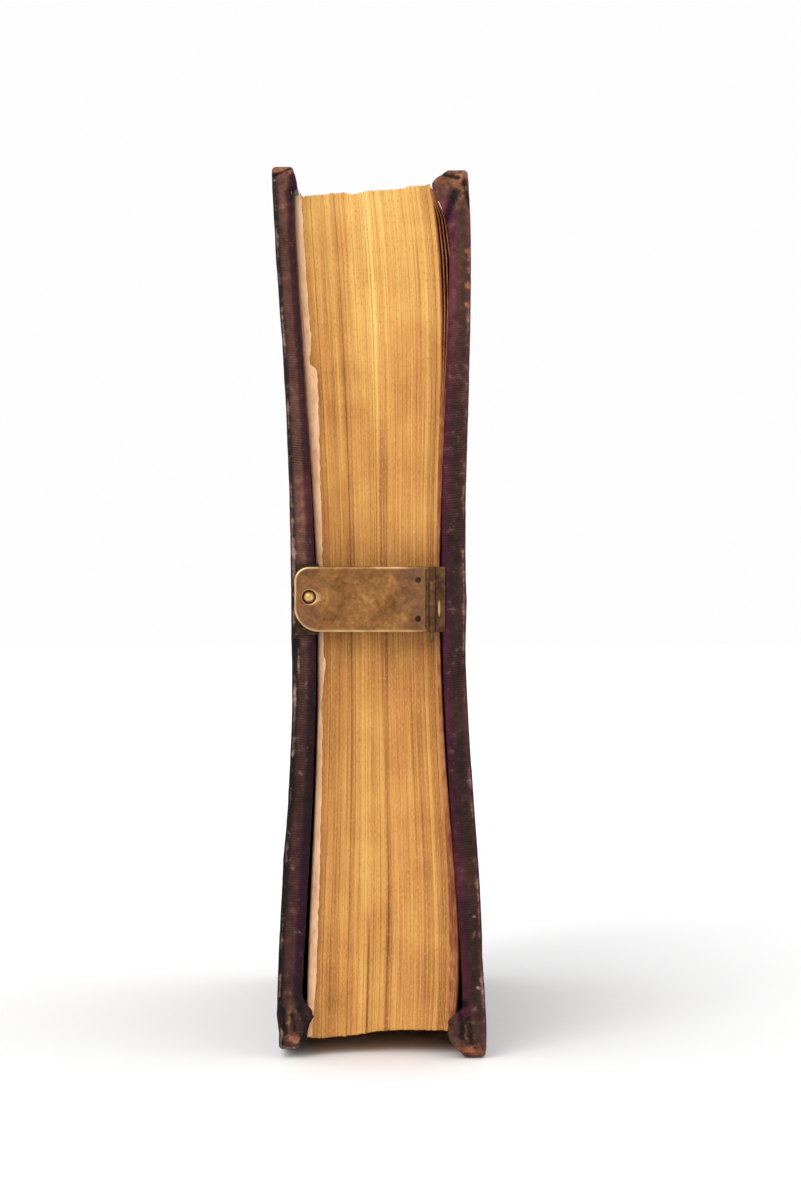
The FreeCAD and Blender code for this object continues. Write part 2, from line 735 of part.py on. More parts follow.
def build_rivet(label, step):
    """Flush rivet through the hasp and its hinge leaf."""
    rivet = doc.addObject("Part::Cylinder", label)
    rivet.Label = label
    rivet.setExpression("Radius", "Dims.rivet_radius")
    rivet.setExpression("Height", "Dims.plate_thick + Dims.hasp_thick")
    rivet.setExpression(
        "Placement",
        "placement(vector(Dims.hasp_heel - Dims.rivet_inset; -Dims.fore_edge - Dims.running_gap;"
        " Dims.clasp_height + %s * Dims.rivet_spread); rotation(0; 0; 90))" % step)
    doc.recompute()
    return rivet


def build_nail(label, side, step):
    """Domed nail driven sideways through the return of a plate into the board."""
    body = new_body(label)
    sketch = plane_sketch(body, label + "_profile", "XZ_Plane")
    outline(sketch, [
        ("0", "-Dims.nail_length"),
        ("Dims.nail_radius", "-Dims.nail_length"),
        ("Dims.nail_radius", "0"),
        ("Dims.nail_head", "0"),
        ("0", "Dims.nail_rise"),
    ], {3: dome("Dims.nail_head", "Dims.nail_rise", "0")})
    turn = body.newObject("PartDesign::Revolution", label + "_turned")
    turn.Profile = sketch
    turn.ReferenceAxis = (sketch, ["V_Axis"])
    turn.Angle = 360
    sign = SIDES[side]
    # the head faces the middle of the book, so the nail's axis lies along X
    body.setExpression(
        "Placement",
        "placement(vector(%s * (Dims.%s_waist_out - %s - Dims.seat_gap - Dims.plate_thick);"
        " -Dims.fore_edge + Dims.plate_return / 2; Dims.clasp_height + %s * Dims.nail_spread);"
        " rotation(0; %s * -90; 0))" % (sign, side, COVER, step, sign))
    doc.recompute()
    return body


def build_nails(side, plate):
    nails = {
        plate + "_nail_upper": build_nail(plate + "_nail_upper", side, "1"),
        plate + "_nail_lower": build_nail(plate + "_nail_lower", side, "-1"),
    }
    group = doc.addObject("Part::Compound", plate + "_nails")
    group.Links = list(nails.values())
    doc.recompute()
    return nails, group


def build_all():
    pieces = {}
    catch_nails, catch_group = build_nails("front", "catch")
    anchor_nails, anchor_group = build_nails("back", "anchor")
    pieces.update(catch_nails)
    pieces.update(anchor_nails)
    pieces.update(build_cover("front", catch_group))
    pieces.update(build_cover("back", anchor_group))
    front_leaf = build_endpaper("front")
    tear_front_leaf(front_leaf)
    for body in (
            build_text_block(), front_leaf, build_endpaper("back"), build_spine(), build_lining(),
            build_endband("headband_top", "Dims.block_tail + Dims.block_height + Dims.leaf_gap"),
            build_endband("headband_tail",
                          "Dims.block_tail - 2 * Dims.endband_radius - Dims.leaf_gap"),
            build_catch_plate(), build_catch_stud(), build_anchor_plate(), build_hinge_pin(),
            build_hasp_plate(), build_hasp_leaf(),
            build_rivet("hasp_rivet_upper", "1"), build_rivet("hasp_rivet_lower", "-1")):
        pieces[body.Label] = body
    return pieces


def check_and_write(pieces):
    doc.recompute()
    for item in doc.Objects:
        if "Invalid" in item.State or "Error" in item.State:
            raise RuntimeError("%s did not build" % item.Label)
    for name, piece in pieces.items():
        if piece.Shape.isNull() or not piece.Shape.isValid():
            raise RuntimeError("%s has a bad shape" % name)
    os.makedirs("parts", exist_ok=True)
    for name, piece in pieces.items():
        piece.Shape.exportStep("parts/%s.step" % name)


check_and_write(build_all())
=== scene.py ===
"""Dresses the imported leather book: gilt leaves, torn endpaper, worn covers and a brass clasp.

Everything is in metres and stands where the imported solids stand. The fore-edge faces -Y.
"""
import math
from functools import partial

import bpy
import bmesh
import numpy as np
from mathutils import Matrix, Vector, noise
from mathutils.bvhtree import BVHTree


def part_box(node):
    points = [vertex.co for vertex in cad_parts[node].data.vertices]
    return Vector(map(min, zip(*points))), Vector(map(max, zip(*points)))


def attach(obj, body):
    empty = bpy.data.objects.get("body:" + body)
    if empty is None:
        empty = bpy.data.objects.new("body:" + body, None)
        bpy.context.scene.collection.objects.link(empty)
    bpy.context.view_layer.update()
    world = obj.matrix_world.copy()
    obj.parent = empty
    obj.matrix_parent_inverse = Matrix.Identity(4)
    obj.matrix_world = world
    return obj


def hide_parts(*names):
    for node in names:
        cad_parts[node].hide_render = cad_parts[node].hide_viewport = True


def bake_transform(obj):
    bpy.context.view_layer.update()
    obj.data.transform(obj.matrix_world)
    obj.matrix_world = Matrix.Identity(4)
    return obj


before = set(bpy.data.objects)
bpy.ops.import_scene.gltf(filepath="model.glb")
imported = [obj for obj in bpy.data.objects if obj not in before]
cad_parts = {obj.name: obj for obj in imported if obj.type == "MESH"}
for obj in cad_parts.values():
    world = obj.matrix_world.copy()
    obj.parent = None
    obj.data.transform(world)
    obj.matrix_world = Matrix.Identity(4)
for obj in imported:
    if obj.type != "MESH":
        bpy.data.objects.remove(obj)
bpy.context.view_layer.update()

bl_info = {
    "name": "Clasped leather book",
    "version": (1, 0, 0),
    "blender": (4, 5, 0),
    "location": "3D View > Sidebar > Book",
    "description": "Dresses the solids of a small leather book with a clasp",
    "category": "Object",
}

MM = 0.001
SEED = 7
FAR = 0.2                          # measuring rays start here, well outside the book
FORE_AT, SPINE_AT = -44 * MM, 40 * MM   # the covers' outer faces are measured at these depths
LEAF_WIDE = 98                     # width of a cover and its leaves, in mm


def linear(code):
    """sRGB hex to the linear colour that the nodes take."""
    parts = [int(code[i:i + 2], 16) / 255 for i in (1, 3, 5)]
    return tuple(c / 12.92 if c <= 0.04045 else ((c + 0.055) / 1.055) ** 2.4 for c in parts) + (1.0,)


def add(tree, kind, inputs=None, stops=(), **settings):
    """Adds a node, sets its properties, and fills or links its inputs by name or number.

    A node as a value is linked from its first output in use, a string is a colour, and stops are
    the positions and colours of a colour band, as strings or as settings of the panel.
    """
    made = tree.nodes.new(kind)
    for name, value in settings.items():
        setattr(made, name, value)
    for number, (position, colour) in enumerate(stops):
        band = made.color_ramp.elements
        stop = band[number] if number < 2 else band.new(position)
        stop.position, stop.color = position, linear(colour) if isinstance(colour, str) else colour
    for key, value in (inputs or {}).items():
        used = [s for s in made.inputs if s.enabled and s.name == key]
        socket = used[0] if used else made.inputs[key]
        if isinstance(value, bpy.types.Node):
            value = next(s for s in value.outputs if s.enabled)
        if isinstance(value, bpy.types.NodeSocket):
            tree.links.new(value, socket)
        else:
            socket.default_value = linear(value) if isinstance(value, str) else value
    return made


def material(name):
    """New material: itself, a function that adds to its tree, and object coordinates in millimetres."""
    made = bpy.data.materials.new(name)
    made.use_nodes = True
    made.node_tree.nodes.clear()
    new = partial(add, made.node_tree)
    where = new("ShaderNodeMapping", {"Vector": new("ShaderNodeTexCoord").outputs["Object"],
                                      "Scale": (1000, 1000, 1000)})
    return made, new, where


def surface_of(node):
    """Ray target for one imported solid."""
    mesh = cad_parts[node].data
    mesh.calc_loop_triangles()
    corners = [v.co.copy() for v in mesh.vertices]
    return BVHTree.FromPolygons(corners, [tuple(t.vertices) for t in mesh.loop_triangles])


def reach(tree, start, direction):
    """First point of a solid along a ray, or None."""
    return tree.ray_cast(Vector(start), Vector(direction))[0]


def edge_line(tree, axis, sign, at, samples, degree=6):
    """Polynomial of a solid's outline along axis, seen against sign, over samples of another axis.

    at(s) gives the ray's start with axis far outside.
    """
    direction = Vector((0, 0, 0))
    direction[axis] = -sign
    found = [(s, reach(tree, at(s), direction)) for s in samples]
    kept = [(s, hit[axis]) for s, hit in found if hit is not None]
    if len(kept) < degree + 2:
        raise RuntimeError("the solid was missed by the measuring rays")
    places, values = zip(*kept)
    return np.polynomial.Polynomial.fit(places, values, degree)


def noise_at(points, size, seed=0.0):
    """Smooth noise from -1 to 1 at each point; size is that of one blotch."""
    shift = Vector((seed * 13.7, seed * 7.3, seed * 3.1))
    return np.array([noise.noise(Vector(p) / size + shift) for p in points])


def put(name, data):
    """New object in the scene."""
    made = bpy.data.objects.new(name, data)
    bpy.context.scene.collection.objects.link(made)
    return made


def build_mesh(name, points, faces, values=None):
    """Smooth object at the origin from points in metres; its faces are turned outwards."""
    mesh = bpy.data.meshes.new(name)
    mesh.from_pydata([tuple(p) for p in points], [], [tuple(int(i) for i in f) for f in faces])
    mesh.update()
    for key, numbers in (values or {}).items():
        layer = mesh.attributes.new(key, "FLOAT", "POINT")
        layer.data.foreach_set("value", np.asarray(numbers, np.float32))
    work = bmesh.new()
    work.from_mesh(mesh)
    bmesh.ops.recalc_face_normals(work, faces=work.faces)
    work.to_mesh(mesh)
    work.free()
    mesh.polygons.foreach_set("use_smooth", [True] * len(mesh.polygons))
    return put(name, mesh)


def box_lattice(us, vs, ws):
    """Welded skin of a box with these divisions: shares (u, v, w) of its points, and its faces."""
    count = (len(us), len(vs), len(ws))
    grid = np.indices(count)
    skin = np.zeros(count, bool)
    for axis in range(3):
        skin |= (grid[axis] == 0) | (grid[axis] == count[axis] - 1)
    number = np.full(count, -1)
    number[skin] = np.arange(skin.sum())
    shares = np.stack([np.asarray(us)[grid[0][skin]], np.asarray(vs)[grid[1][skin]],
                       np.asarray(ws)[grid[2][skin]]], 1)
    faces = []
    for axis in range(3):
        for end in (0, count[axis] - 1):
            side = np.take(number, end, axis=axis)
            quads = np.stack([side[:-1, :-1], side[1:, :-1], side[1:, 1:], side[:-1, 1:]], -1)
            quads = quads.reshape(-1, 4)
            faces.append(quads[:, ::-1] if (end == 0) == (axis != 1) else quads)
    return shares, np.concatenate(faces)


def closed_tube(sections, around):
    """Faces of a tube of closed rings, with its two ends filled."""
    number = np.arange(sections * around).reshape(sections, around)
    turned = np.roll(number, -1, axis=1)
    sides = np.stack([number[:-1], turned[:-1], turned[1:], number[1:]], -1).reshape(-1, 4)
    return [tuple(f) for f in sides] + [tuple(number[0][::-1]), tuple(number[-1])]


class BookSizes(bpy.types.PropertyGroup):
    leaf_group: bpy.props.FloatProperty(
        name="Leaf group", description="Mean thickness of the leaves that rise together",
        default=0.30 * MM, unit="LENGTH", precision=5)
    groove: bpy.props.FloatProperty(
        name="Groove", description="Depth of the grooves between groups of leaves",
        default=0.10 * MM, unit="LENGTH", precision=5)
    roll_pitch: bpy.props.FloatProperty(
        name="Roll pitch", description="Distance between the tooled lines on the board edges",
        default=0.42 * MM, unit="LENGTH", precision=5)
    roll_depth: bpy.props.FloatProperty(
        name="Roll depth", description="Depth of the tooled lines on the board edges",
        default=0.07 * MM, unit="LENGTH", precision=5)
    paper: bpy.props.FloatProperty(
        name="Endpaper", description="Thickness of the torn endpaper",
        default=0.14 * MM, unit="LENGTH", precision=5)
    thread_pitch: bpy.props.FloatProperty(
        name="Thread pitch", description="Distance between the turns of the endband thread",
        default=0.46 * MM, unit="LENGTH", precision=5)


class BookColours(bpy.types.PropertyGroup):
    gilt: bpy.props.FloatVectorProperty(
        name="Gilt", description="Middle tone of the rubbed gold on the edges of the leaves",
        subtype="COLOR", size=4, default=linear("#cb8d44"), min=0, max=1)
    leather: bpy.props.FloatVectorProperty(
        name="Leather", description="Middle tone of the leather where it has faded to brown",
        subtype="COLOR", size=4, default=linear("#482e26"), min=0, max=1)
    dye: bpy.props.FloatVectorProperty(
        name="Dye", description="Middle tone of the leather where its purple dye is left",
        subtype="COLOR", size=4, default=linear("#571f33"), min=0, max=1)
    paper: bpy.props.FloatVectorProperty(
        name="Endpaper", description="Middle tone of the torn endpaper",
        subtype="COLOR", size=4, default=linear("#f1c094"), min=0, max=1)
    brass: bpy.props.FloatVectorProperty(
        name="Brass", description="Middle tone of the hasp's handled brass",
        subtype="COLOR", size=4, default=linear("#96683c"), min=0, max=1)


def sizes():
    return bpy.context.scene.book_sizes


def colours():
    return bpy.context.scene.book_colours


def gilt_edges():
    """Gold leaf on burnished paper edges, rubbed thin: warm, a little metallic, lined along the leaves."""
    made, new, where = material("rubbed_gilt_edges")
    flat = new("ShaderNodeUVMap", uv_map="leaves")
    # U runs across the leaves in mm, V along them: single leaves of 0.1 mm are drawn twice as thick
    lines, flecks = [new("ShaderNodeTexNoise", {
        "Vector": new("ShaderNodeMapping", {"Vector": flat, "Scale": scale}), "Scale": 1.0,
        "Detail": 3.0}) for scale in ((5.2, 0.05, 1), (4.5, 1.6, 1))]
    blotch = new("ShaderNodeTexNoise", {"Vector": where, "Scale": 0.14, "Detail": 4.0})
    own = {name: new("ShaderNodeAttribute", attribute_name=name).outputs["Fac"]
           for name in ("gilt_rub_and_painted_light", "groove", "smut")}
    # the leaves bring their rubbed tone together with painted light: a highlight band, a lighter head, the
    # clasp's painted shadow and painted shade at the sides
    gilt_rub_and_painted_light = new("ShaderNodeMath", {0: blotch, 1: 0.5, 2: new(
        "ShaderNodeMath", {0: own["gilt_rub_and_painted_light"], 1: 0.25}, operation="SUBTRACT")}, operation="MULTIPLY_ADD")
    body = new("ShaderNodeValToRGB", {"Fac": gilt_rub_and_painted_light}, stops=(
        (0.0, "#744319"), (0.28, "#ab6d31"), (0.5, colours().gilt), (0.72, "#e0aa58"), (1.0, "#f4c873")))
    # fine dark lines and light ones between the leaves, painted shade in the grooves, and flecks where the
    # gold is off
    for value, gain, shift, colour in (
            (lines, -3.4, 1.55, "#7d4b1f"), (lines, 2.4, -1.24, "#f2bd70"),
            (own["groove"], 1.1, -0.34, "#4a2a10"), (flecks, 3.4, -1.85, "#e0b070"),
            (flecks, -4.2, 1.80, "#8a5322"), (own["smut"], 1.0, 0.0, "#5a3818")):
        share = new("ShaderNodeMath", {0: value, 1: gain, 2: shift}, operation="MULTIPLY_ADD",
                    use_clamp=True)
        share = new("ShaderNodeMath", {0: share, 1: 0.75}, operation="MULTIPLY")
        body = new("ShaderNodeMix", {"Factor": share, "A": body, "B": colour}, data_type="RGBA")
    new("ShaderNodeOutputMaterial", {"Surface": new("ShaderNodeBsdfPrincipled", {
        "Base Color": body, "Metallic": 0.2, "Roughness": 0.5, "Specular IOR Level": 0.3,
        "Normal": new("ShaderNodeBump", {
            "Height": new("ShaderNodeMath", {0: lines, 1: flecks}, operation="ADD"),
            "Distance": 0.05 * MM, "Strength": 0.6})})})
    return made


def dull_stuff(name, size_mm, stretch, stops, rough, bump_mm, metal=0.0, detail=4.0):
    """A stuff with one texture: colour stops along noise of a size, stretched along the axes."""
    made, new, where = material(name)
    stretched = new("ShaderNodeMapping", {"Vector": where, "Scale": stretch})
    fibre = new("ShaderNodeTexNoise", {"Vector": stretched, "Scale": 1 / size_mm, "Detail": detail,
                                       "Roughness": 0.6})
    stain = new("ShaderNodeTexNoise", {"Vector": where, "Scale": 0.15, "Detail": 3.0})
    both = new("ShaderNodeMath", {0: fibre, 1: 0.6, 2: new(
        "ShaderNodeMath", {0: stain, 1: 0.4}, operation="MULTIPLY")}, operation="MULTIPLY_ADD")
    new("ShaderNodeOutputMaterial", {"Surface": new("ShaderNodeBsdfPrincipled", {
        "Base Color": new("ShaderNodeValToRGB", {"Fac": both}, stops=stops),
        "Roughness": rough, "Metallic": metal, "Specular IOR Level": 0.25,
        "Normal": new("ShaderNodeBump", {"Height": fibre, "Distance": bump_mm * MM, "Strength": 0.6})})})
    return made


def calf(name, base=0.0):
    """Vegetable-tanned calf over board, dyed purple and faded brown: a low sheen and a pebbled grain.

    Its points may carry tone (painted shade included, on the front cover's edge strips and creases), dye,
    roll (tooled lines), rubbed (grey arrises) and bare (tan corners).
    """
    made, new, where = material(name)
    streaked = new("ShaderNodeMapping", {"Vector": where, "Scale": (1, 1, 0.4)})
    cloud, smear, scuff = [new("ShaderNodeTexNoise", {
        "Vector": place, "Scale": 1 / size, "Detail": 5.0, "Roughness": 0.62})
        for place, size in ((streaked, 5.0), (where, 1.7), (where, 0.6))]
    grain = new("ShaderNodeTexVoronoi", {"Vector": where, "Scale": 2.0}, feature="SMOOTH_F1")
    tone, dye, roll, rubbed, bare = [
        new("ShaderNodeAttribute", attribute_name=key).outputs["Fac"]
        for key in ("tone", "dye", "roll", "rubbed", "bare")]
    level = new("ShaderNodeMath", {0: tone, 1: base - 0.75}, operation="ADD")
    for value, gain in ((cloud, 0.6), (smear, 0.65), (scuff, 0.25)):
        level = new("ShaderNodeMath", {0: value, 1: gain, 2: level}, operation="MULTIPLY_ADD")
    brown = new("ShaderNodeValToRGB", {"Fac": level}, stops=(
        (0.0, "#100a09"), (0.3, "#2a1a15"), (0.55, colours().leather), (0.8, "#6c4638"), (1.0, "#8e634d")))
    violet = new("ShaderNodeValToRGB", {"Fac": level}, stops=(
        (0.0, "#180714"), (0.3, "#371125"), (0.55, colours().dye), (0.8, "#773f44"), (1.0, "#8f5e5a")))
    body = new("ShaderNodeMix", {"Factor": dye, "A": brown, "B": violet}, data_type="RGBA")
    body = new("ShaderNodeMix", {"Factor": roll, "A": body, "B": "#0d0807"}, data_type="RGBA")
    tan = new("ShaderNodeValToRGB", {"Fac": smear}, stops=(
        (0.3, "#5e3420"), (0.5, "#8a5437"), (0.65, "#ad7a52")))
    grey = new("ShaderNodeValToRGB", {"Fac": scuff}, stops=((0.35, "#6b4c42"), (0.65, "#a08478")))
    for amount, colour, noise_made in ((rubbed, grey, smear), (bare, tan, scuff)):
        torn = new("ShaderNodeMath", {0: noise_made, 1: 3.0, 2: -1.85}, operation="MULTIPLY_ADD")
        share = new("ShaderNodeMath", {0: amount, 1: 1.7, 2: torn}, operation="MULTIPLY_ADD",
                    use_clamp=True)
        body = new("ShaderNodeMix", {"Factor": share, "A": body, "B": colour}, data_type="RGBA")
    low = new("ShaderNodeBump", {"Height": smear, "Distance": 0.12 * MM, "Strength": 0.5})
    new("ShaderNodeOutputMaterial", {"Surface": new("ShaderNodeBsdfPrincipled", {
        "Base Color": body, "Roughness": 0.6, "Specular IOR Level": 0.13,
        "Normal": new("ShaderNodeBump", {"Height": grain, "Distance": 0.05 * MM, "Strength": 0.45,
                                         "Normal": low})})})
    return made


def old_brass(name, stops, edge="#e9c48c", rough=0.4, painted_highlight=None):
    """Rolled sheet brass, handled for a century: golden where rubbed, brown and violet where tarnished.

    The last argument gives the centre and the radii, in mm, of one painted highlight spot.
    """
    made, new, where = material(name)
    cloud, spot = [new("ShaderNodeTexNoise", {"Vector": where, "Scale": 1 / size, "Detail": 5.0,
                                              "Roughness": 0.65}) for size in (4.0, 0.7)]
    scratch = new("ShaderNodeTexNoise", {"Vector": new("ShaderNodeMapping", {
        "Vector": where, "Scale": (0.25, 1, 2.2)}), "Scale": 2.0})
    own = {key: new("ShaderNodeAttribute", attribute_name=key).outputs["Fac"]
           for key in ("edge", "tarnish")}
    level = new("ShaderNodeMath", {0: cloud, 1: 0.6, 2: new(
        "ShaderNodeMath", {0: spot, 1: 0.4}, operation="MULTIPLY")}, operation="MULTIPLY_ADD")
    body = new("ShaderNodeValToRGB", {"Fac": level}, stops=stops)
    # edge lightens the worn bevels, and on the hasp also a painted highlight along its top bevel
    for share, colour in ((own["tarnish"], "#5a4040"), (own["edge"], edge)):
        body = new("ShaderNodeMix", {"Factor": share, "A": body, "B": colour}, data_type="RGBA")
    # painted highlight: one bright spot, when asked for
    if painted_highlight:
        away = new("ShaderNodeVectorMath", {0: where, 1: painted_highlight[0]}, operation="SUBTRACT")
        away = new("ShaderNodeVectorMath", {0: away, 1: painted_highlight[1]}, operation="DIVIDE")
        away = new("ShaderNodeVectorMath", {0: away}, operation="LENGTH").outputs["Value"]
        share = new("ShaderNodeMath", {0: away, 1: -2.5, 2: 3.0}, operation="MULTIPLY_ADD", use_clamp=True)
        body = new("ShaderNodeMix", {"Factor": share, "A": body, "B": edge}, data_type="RGBA")
    new("ShaderNodeOutputMaterial", {"Surface": new("ShaderNodeBsdfPrincipled", {
        "Base Color": body, "Metallic": 1.0, "Roughness": rough,
        "Normal": new("ShaderNodeBump", {
            "Height": new("ShaderNodeMath", {0: spot, 1: scratch}, operation="ADD"),
            "Distance": 0.02 * MM, "Strength": 0.6})})})
    return made


def paint(node, made):
    """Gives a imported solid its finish."""
    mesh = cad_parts[node].data
    mesh.materials.clear()
    mesh.materials.append(made)


def block_outline():
    """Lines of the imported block: its sides, ends, hollow fore-edge and round back."""
    solid = surface_of("text_block")
    low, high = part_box("text_block")
    heights = np.linspace(low.z + 4 * MM, high.z - 4 * MM, 36)
    fore, back = low.y + 0.25 * MM, 44 * MM
    lines = {}
    for side, sign in (("front", -1), ("back", 1)):
        for end, depth in (("fore", fore), ("spine", back)):
            lines[side, end] = edge_line(
                solid, 0, sign, lambda z, d=depth, s=sign: (s * FAR, d, z), heights,
                7 if end == "fore" else 1)
    wide = np.linspace(-8 * MM, 6 * MM, 9)
    lines["head"] = edge_line(solid, 2, 1, lambda x: (x, 0, FAR), wide, 1)
    lines["tail"] = edge_line(solid, 2, -1, lambda x: (x, 0, -FAR), wide, 1)
    middle = (low.z + high.z) / 2
    left, right = lines["front", "fore"](middle), lines["back", "fore"](middle)
    shares = np.linspace(0.03, 0.97, 25)
    hollow = edge_line(solid, 1, -1, lambda s: (left + (right - left) * s, -FAR, middle), shares, 4)
    half = 12.6 * MM       # of the width between the joints
    round_back = edge_line(solid, 1, 1, lambda s: (2 * half * s - half, FAR, middle), shares, 4)
    lines["hollow"], lines["round"] = hollow, round_back
    lines["fore_y"], lines["back_y"] = low.y, back
    return lines


def leaf_groups(width):
    """Edges of the groups of leaves, as shares of the width, each with groove depth, lift and tone."""
    draw = np.random.default_rng(SEED)
    mean = sizes().leaf_group
    steps = []
    while sum(steps) < width:
        steps.append(mean * draw.choice([0.55, 0.75, 1.0, 1.3, 1.7], p=[0.2, 0.3, 0.25, 0.15, 0.1]))
    marks = np.concatenate([[0], np.cumsum(steps)])
    marks /= marks[-1]
    depths = np.clip(draw.gamma(2.0, 0.45, len(marks)), 0.12, 2.6)
    tones = draw.normal(0, 1, len(marks))
    tones = 0.55 * tones + 0.45 * np.convolve(tones, np.ones(5) / 5, "same") * 2.2
    return marks, depths, draw.normal(0, 1, len(marks)), tones


# by share across, in mm: how far the leaves pass the straight line at the head, and at the tail
HEAD_STEPS = ((0, 0.02, 0.1, 0.25, 0.34, 0.40, 0.50, 0.8, 0.82, 1),
              (0.5, -0.5, -0.35, 0, 0.1, -0.35, 0.2, 0.3, 0.6, 0.6))
TAIL_STEPS = ((0, 0.1, 0.3, 0.42, 0.5, 0.6, 1), (0.2, 0.3, 0.25, -0.1, -0.35, -0.4, -0.2))
# painted highlight band down the gilt: share across, its width, lowest height
HIGHLIGHT_AT, HIGHLIGHT_WIDE, HIGHLIGHT_FROM = 0.52, 0.10, 100 * MM


def make_pages():
    lines = block_outline()
    low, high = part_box("text_block")
    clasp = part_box("hasp_plate")
    clasp_z = (clasp[0].z + clasp[1].z) / 2
    middle = (low.z + high.z) / 2
    width = lines["back", "fore"](middle) - lines["front", "fore"](middle)
    marks, depths, lift, tones = leaf_groups(width)
    columns, deep, raised, tone = [], [], [], []
    for i in range(len(marks) - 1):
        start, end = marks[i], marks[i + 1]
        for share, sink in ((0.0, 1.0), (0.2, 0.25), (0.8, 0.25)):
            columns.append(start + (end - start) * share)
            deep.append(depths[i if share < 0.5 else i + 1] * sink)
            raised.append(lift[i] if share > 0 else min(lift[i], lift[i - 1]))
            tone.append(tones[i])
    columns.append(1.0)
    deep.append(0.4)
    raised.append(0.0)
    tone.append(0.0)
    deep, raised, tone = np.array(deep), np.array(raised), np.array(tone)
    us = np.array(columns)
    vs = np.array([0, 0.004, 0.02, 0.06, 0.12, 0.2, 0.3, 0.42, 0.54, 0.66, 0.78, 0.9, 1.0])
    ws = np.concatenate([[0, 0.001, 0.004], np.linspace(0.012, 0.988, 74), [0.996, 0.999, 1.0]])
    shares, faces = box_lattice(np.arange(len(us)), vs, ws)
    column = shares[:, 0].astype(int)
    u, v, w = us[column], shares[:, 1], shares[:, 2]
    sink = deep[column] * sizes().groove
    draw = np.random.default_rng(SEED + 1)
    ragged = np.interp(u, np.linspace(0, 1, 140), draw.normal(0, 1, 140)) * 0.07 * MM
    x_mid = lines["front", "fore"](middle) + width * u
    tail, head = lines["tail"](x_mid), lines["head"](x_mid)
    z = tail + (head - tail) * w
    left_f, right_f = lines["front", "fore"](z), lines["back", "fore"](z)
    left_s, right_s = lines["front", "spine"](z), lines["back", "spine"](z)
    fore_x = left_f + (right_f - left_f) * u
    spine_x = left_s + (right_s - left_s) * u
    x = fore_x + (spine_x - fore_x) * v
    fore_y, back_y = lines["hollow"](u), lines["round"](u)
    y = fore_y + (back_y - fore_y) * v
    waver = noise_at(np.stack([u * 14, z / (24 * MM), np.zeros_like(u)], 1), 1.0, 1.0)
    bow = noise_at(np.stack([u * 3, z / (45 * MM), np.ones_like(u)], 1), 1.0, 2.0)
    at_fore = np.clip(1 - v / 0.02, 0, 1)
    proud = raised[column] * 0.03 * MM * (0.4 + waver)
    y += at_fore * (sink + proud + 0.06 * MM * waver * (deep[column] > 0.2))
    # a gathering has opened at the bottom, and its leaves sink by up to half a millimetre
    opened = np.exp(-((u - 0.405) / 0.009) ** 2) * np.clip((27 * MM - z) / (10 * MM), 0, 1)
    y += at_fore * opened * 0.5 * MM
    x += at_fore * (bow * 0.12 * MM) * (4 * u * (1 - u))
    end_high = np.clip((w - 0.99) / 0.01, 0, 1)
    end_low = np.clip((0.01 - w) / 0.01, 0, 1)
    edge_fade = np.clip(1 - v * 1.2, 0.2, 1)
    z = z + end_high * ((ragged + np.interp(u, *HEAD_STEPS) * MM) * edge_fade - sink * 0.8)
    z = z - end_low * ((ragged + np.interp(u, *TAIL_STEPS) * MM) * edge_fade - sink * 0.8)
    # light and dark of the rubbed gilt leaf by leaf, with painted light: a painted highlight band, lighter
    # towards the head, painted shadow of the clasp, painted shade by the front board, and darker towards
    # the back side low down
    local = noise_at(np.stack([u * 60, z / (38 * MM), np.full_like(u, 3.0)], 1), 1.0, 4.0)
    band = np.exp(-((u - HIGHLIGHT_AT) / HIGHLIGHT_WIDE) ** 2) * np.clip((z - HIGHLIGHT_FROM) / (12 * MM), 0, 1)
    dull = np.exp(-((z - clasp_z) / (14 * MM)) ** 2)
    gilt_rub_and_painted_light = 0.55 + 0.13 * tone[column] * (0.5 + 0.9 * np.abs(local)) + 0.12 * local + 0.30 * band
    gilt_rub_and_painted_light += 0.16 * np.clip((z - 110 * MM) / (30 * MM), 0, 1) - 0.16 * dull - 0.16 * np.exp(-u / 0.03)
    gilt_rub_and_painted_light -= 0.10 * np.clip((u - 0.55) / 0.25, 0, 1) * np.clip((95 * MM - z) / (30 * MM), 0, 1)
    # painted shade: the groove value darkens the gilt in the deeper grooves, and most in the opened
    # gathering
    made = build_mesh("gilt_text_block", np.stack([x, y, z], 1), faces, {
        "groove": np.clip(deep[column] / 2.2 + opened * 1.2, 0, 1), "gilt_rub_and_painted_light": np.clip(gilt_rub_and_painted_light, 0, 1),
        "smut": np.exp(-((x / MM + 10.1) / 0.35) ** 2 - ((z / MM - 141.6) / 0.5) ** 2)})
    uv = made.data.uv_layers.new(name="leaves")
    along = np.where((v > 0) & (v < 1), v * LEAF_WIDE, z / MM)
    corner_points = np.zeros(len(made.data.loops), int)
    made.data.loops.foreach_get("vertex_index", corner_points)
    flat = np.stack([u * width / MM, along], 1)[corner_points]
    uv.data.foreach_set("uv", flat.astype(np.float32).ravel())
    made.data.materials.append(gilt_edges())
    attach(made, "root")
    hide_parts("text_block")
    return made


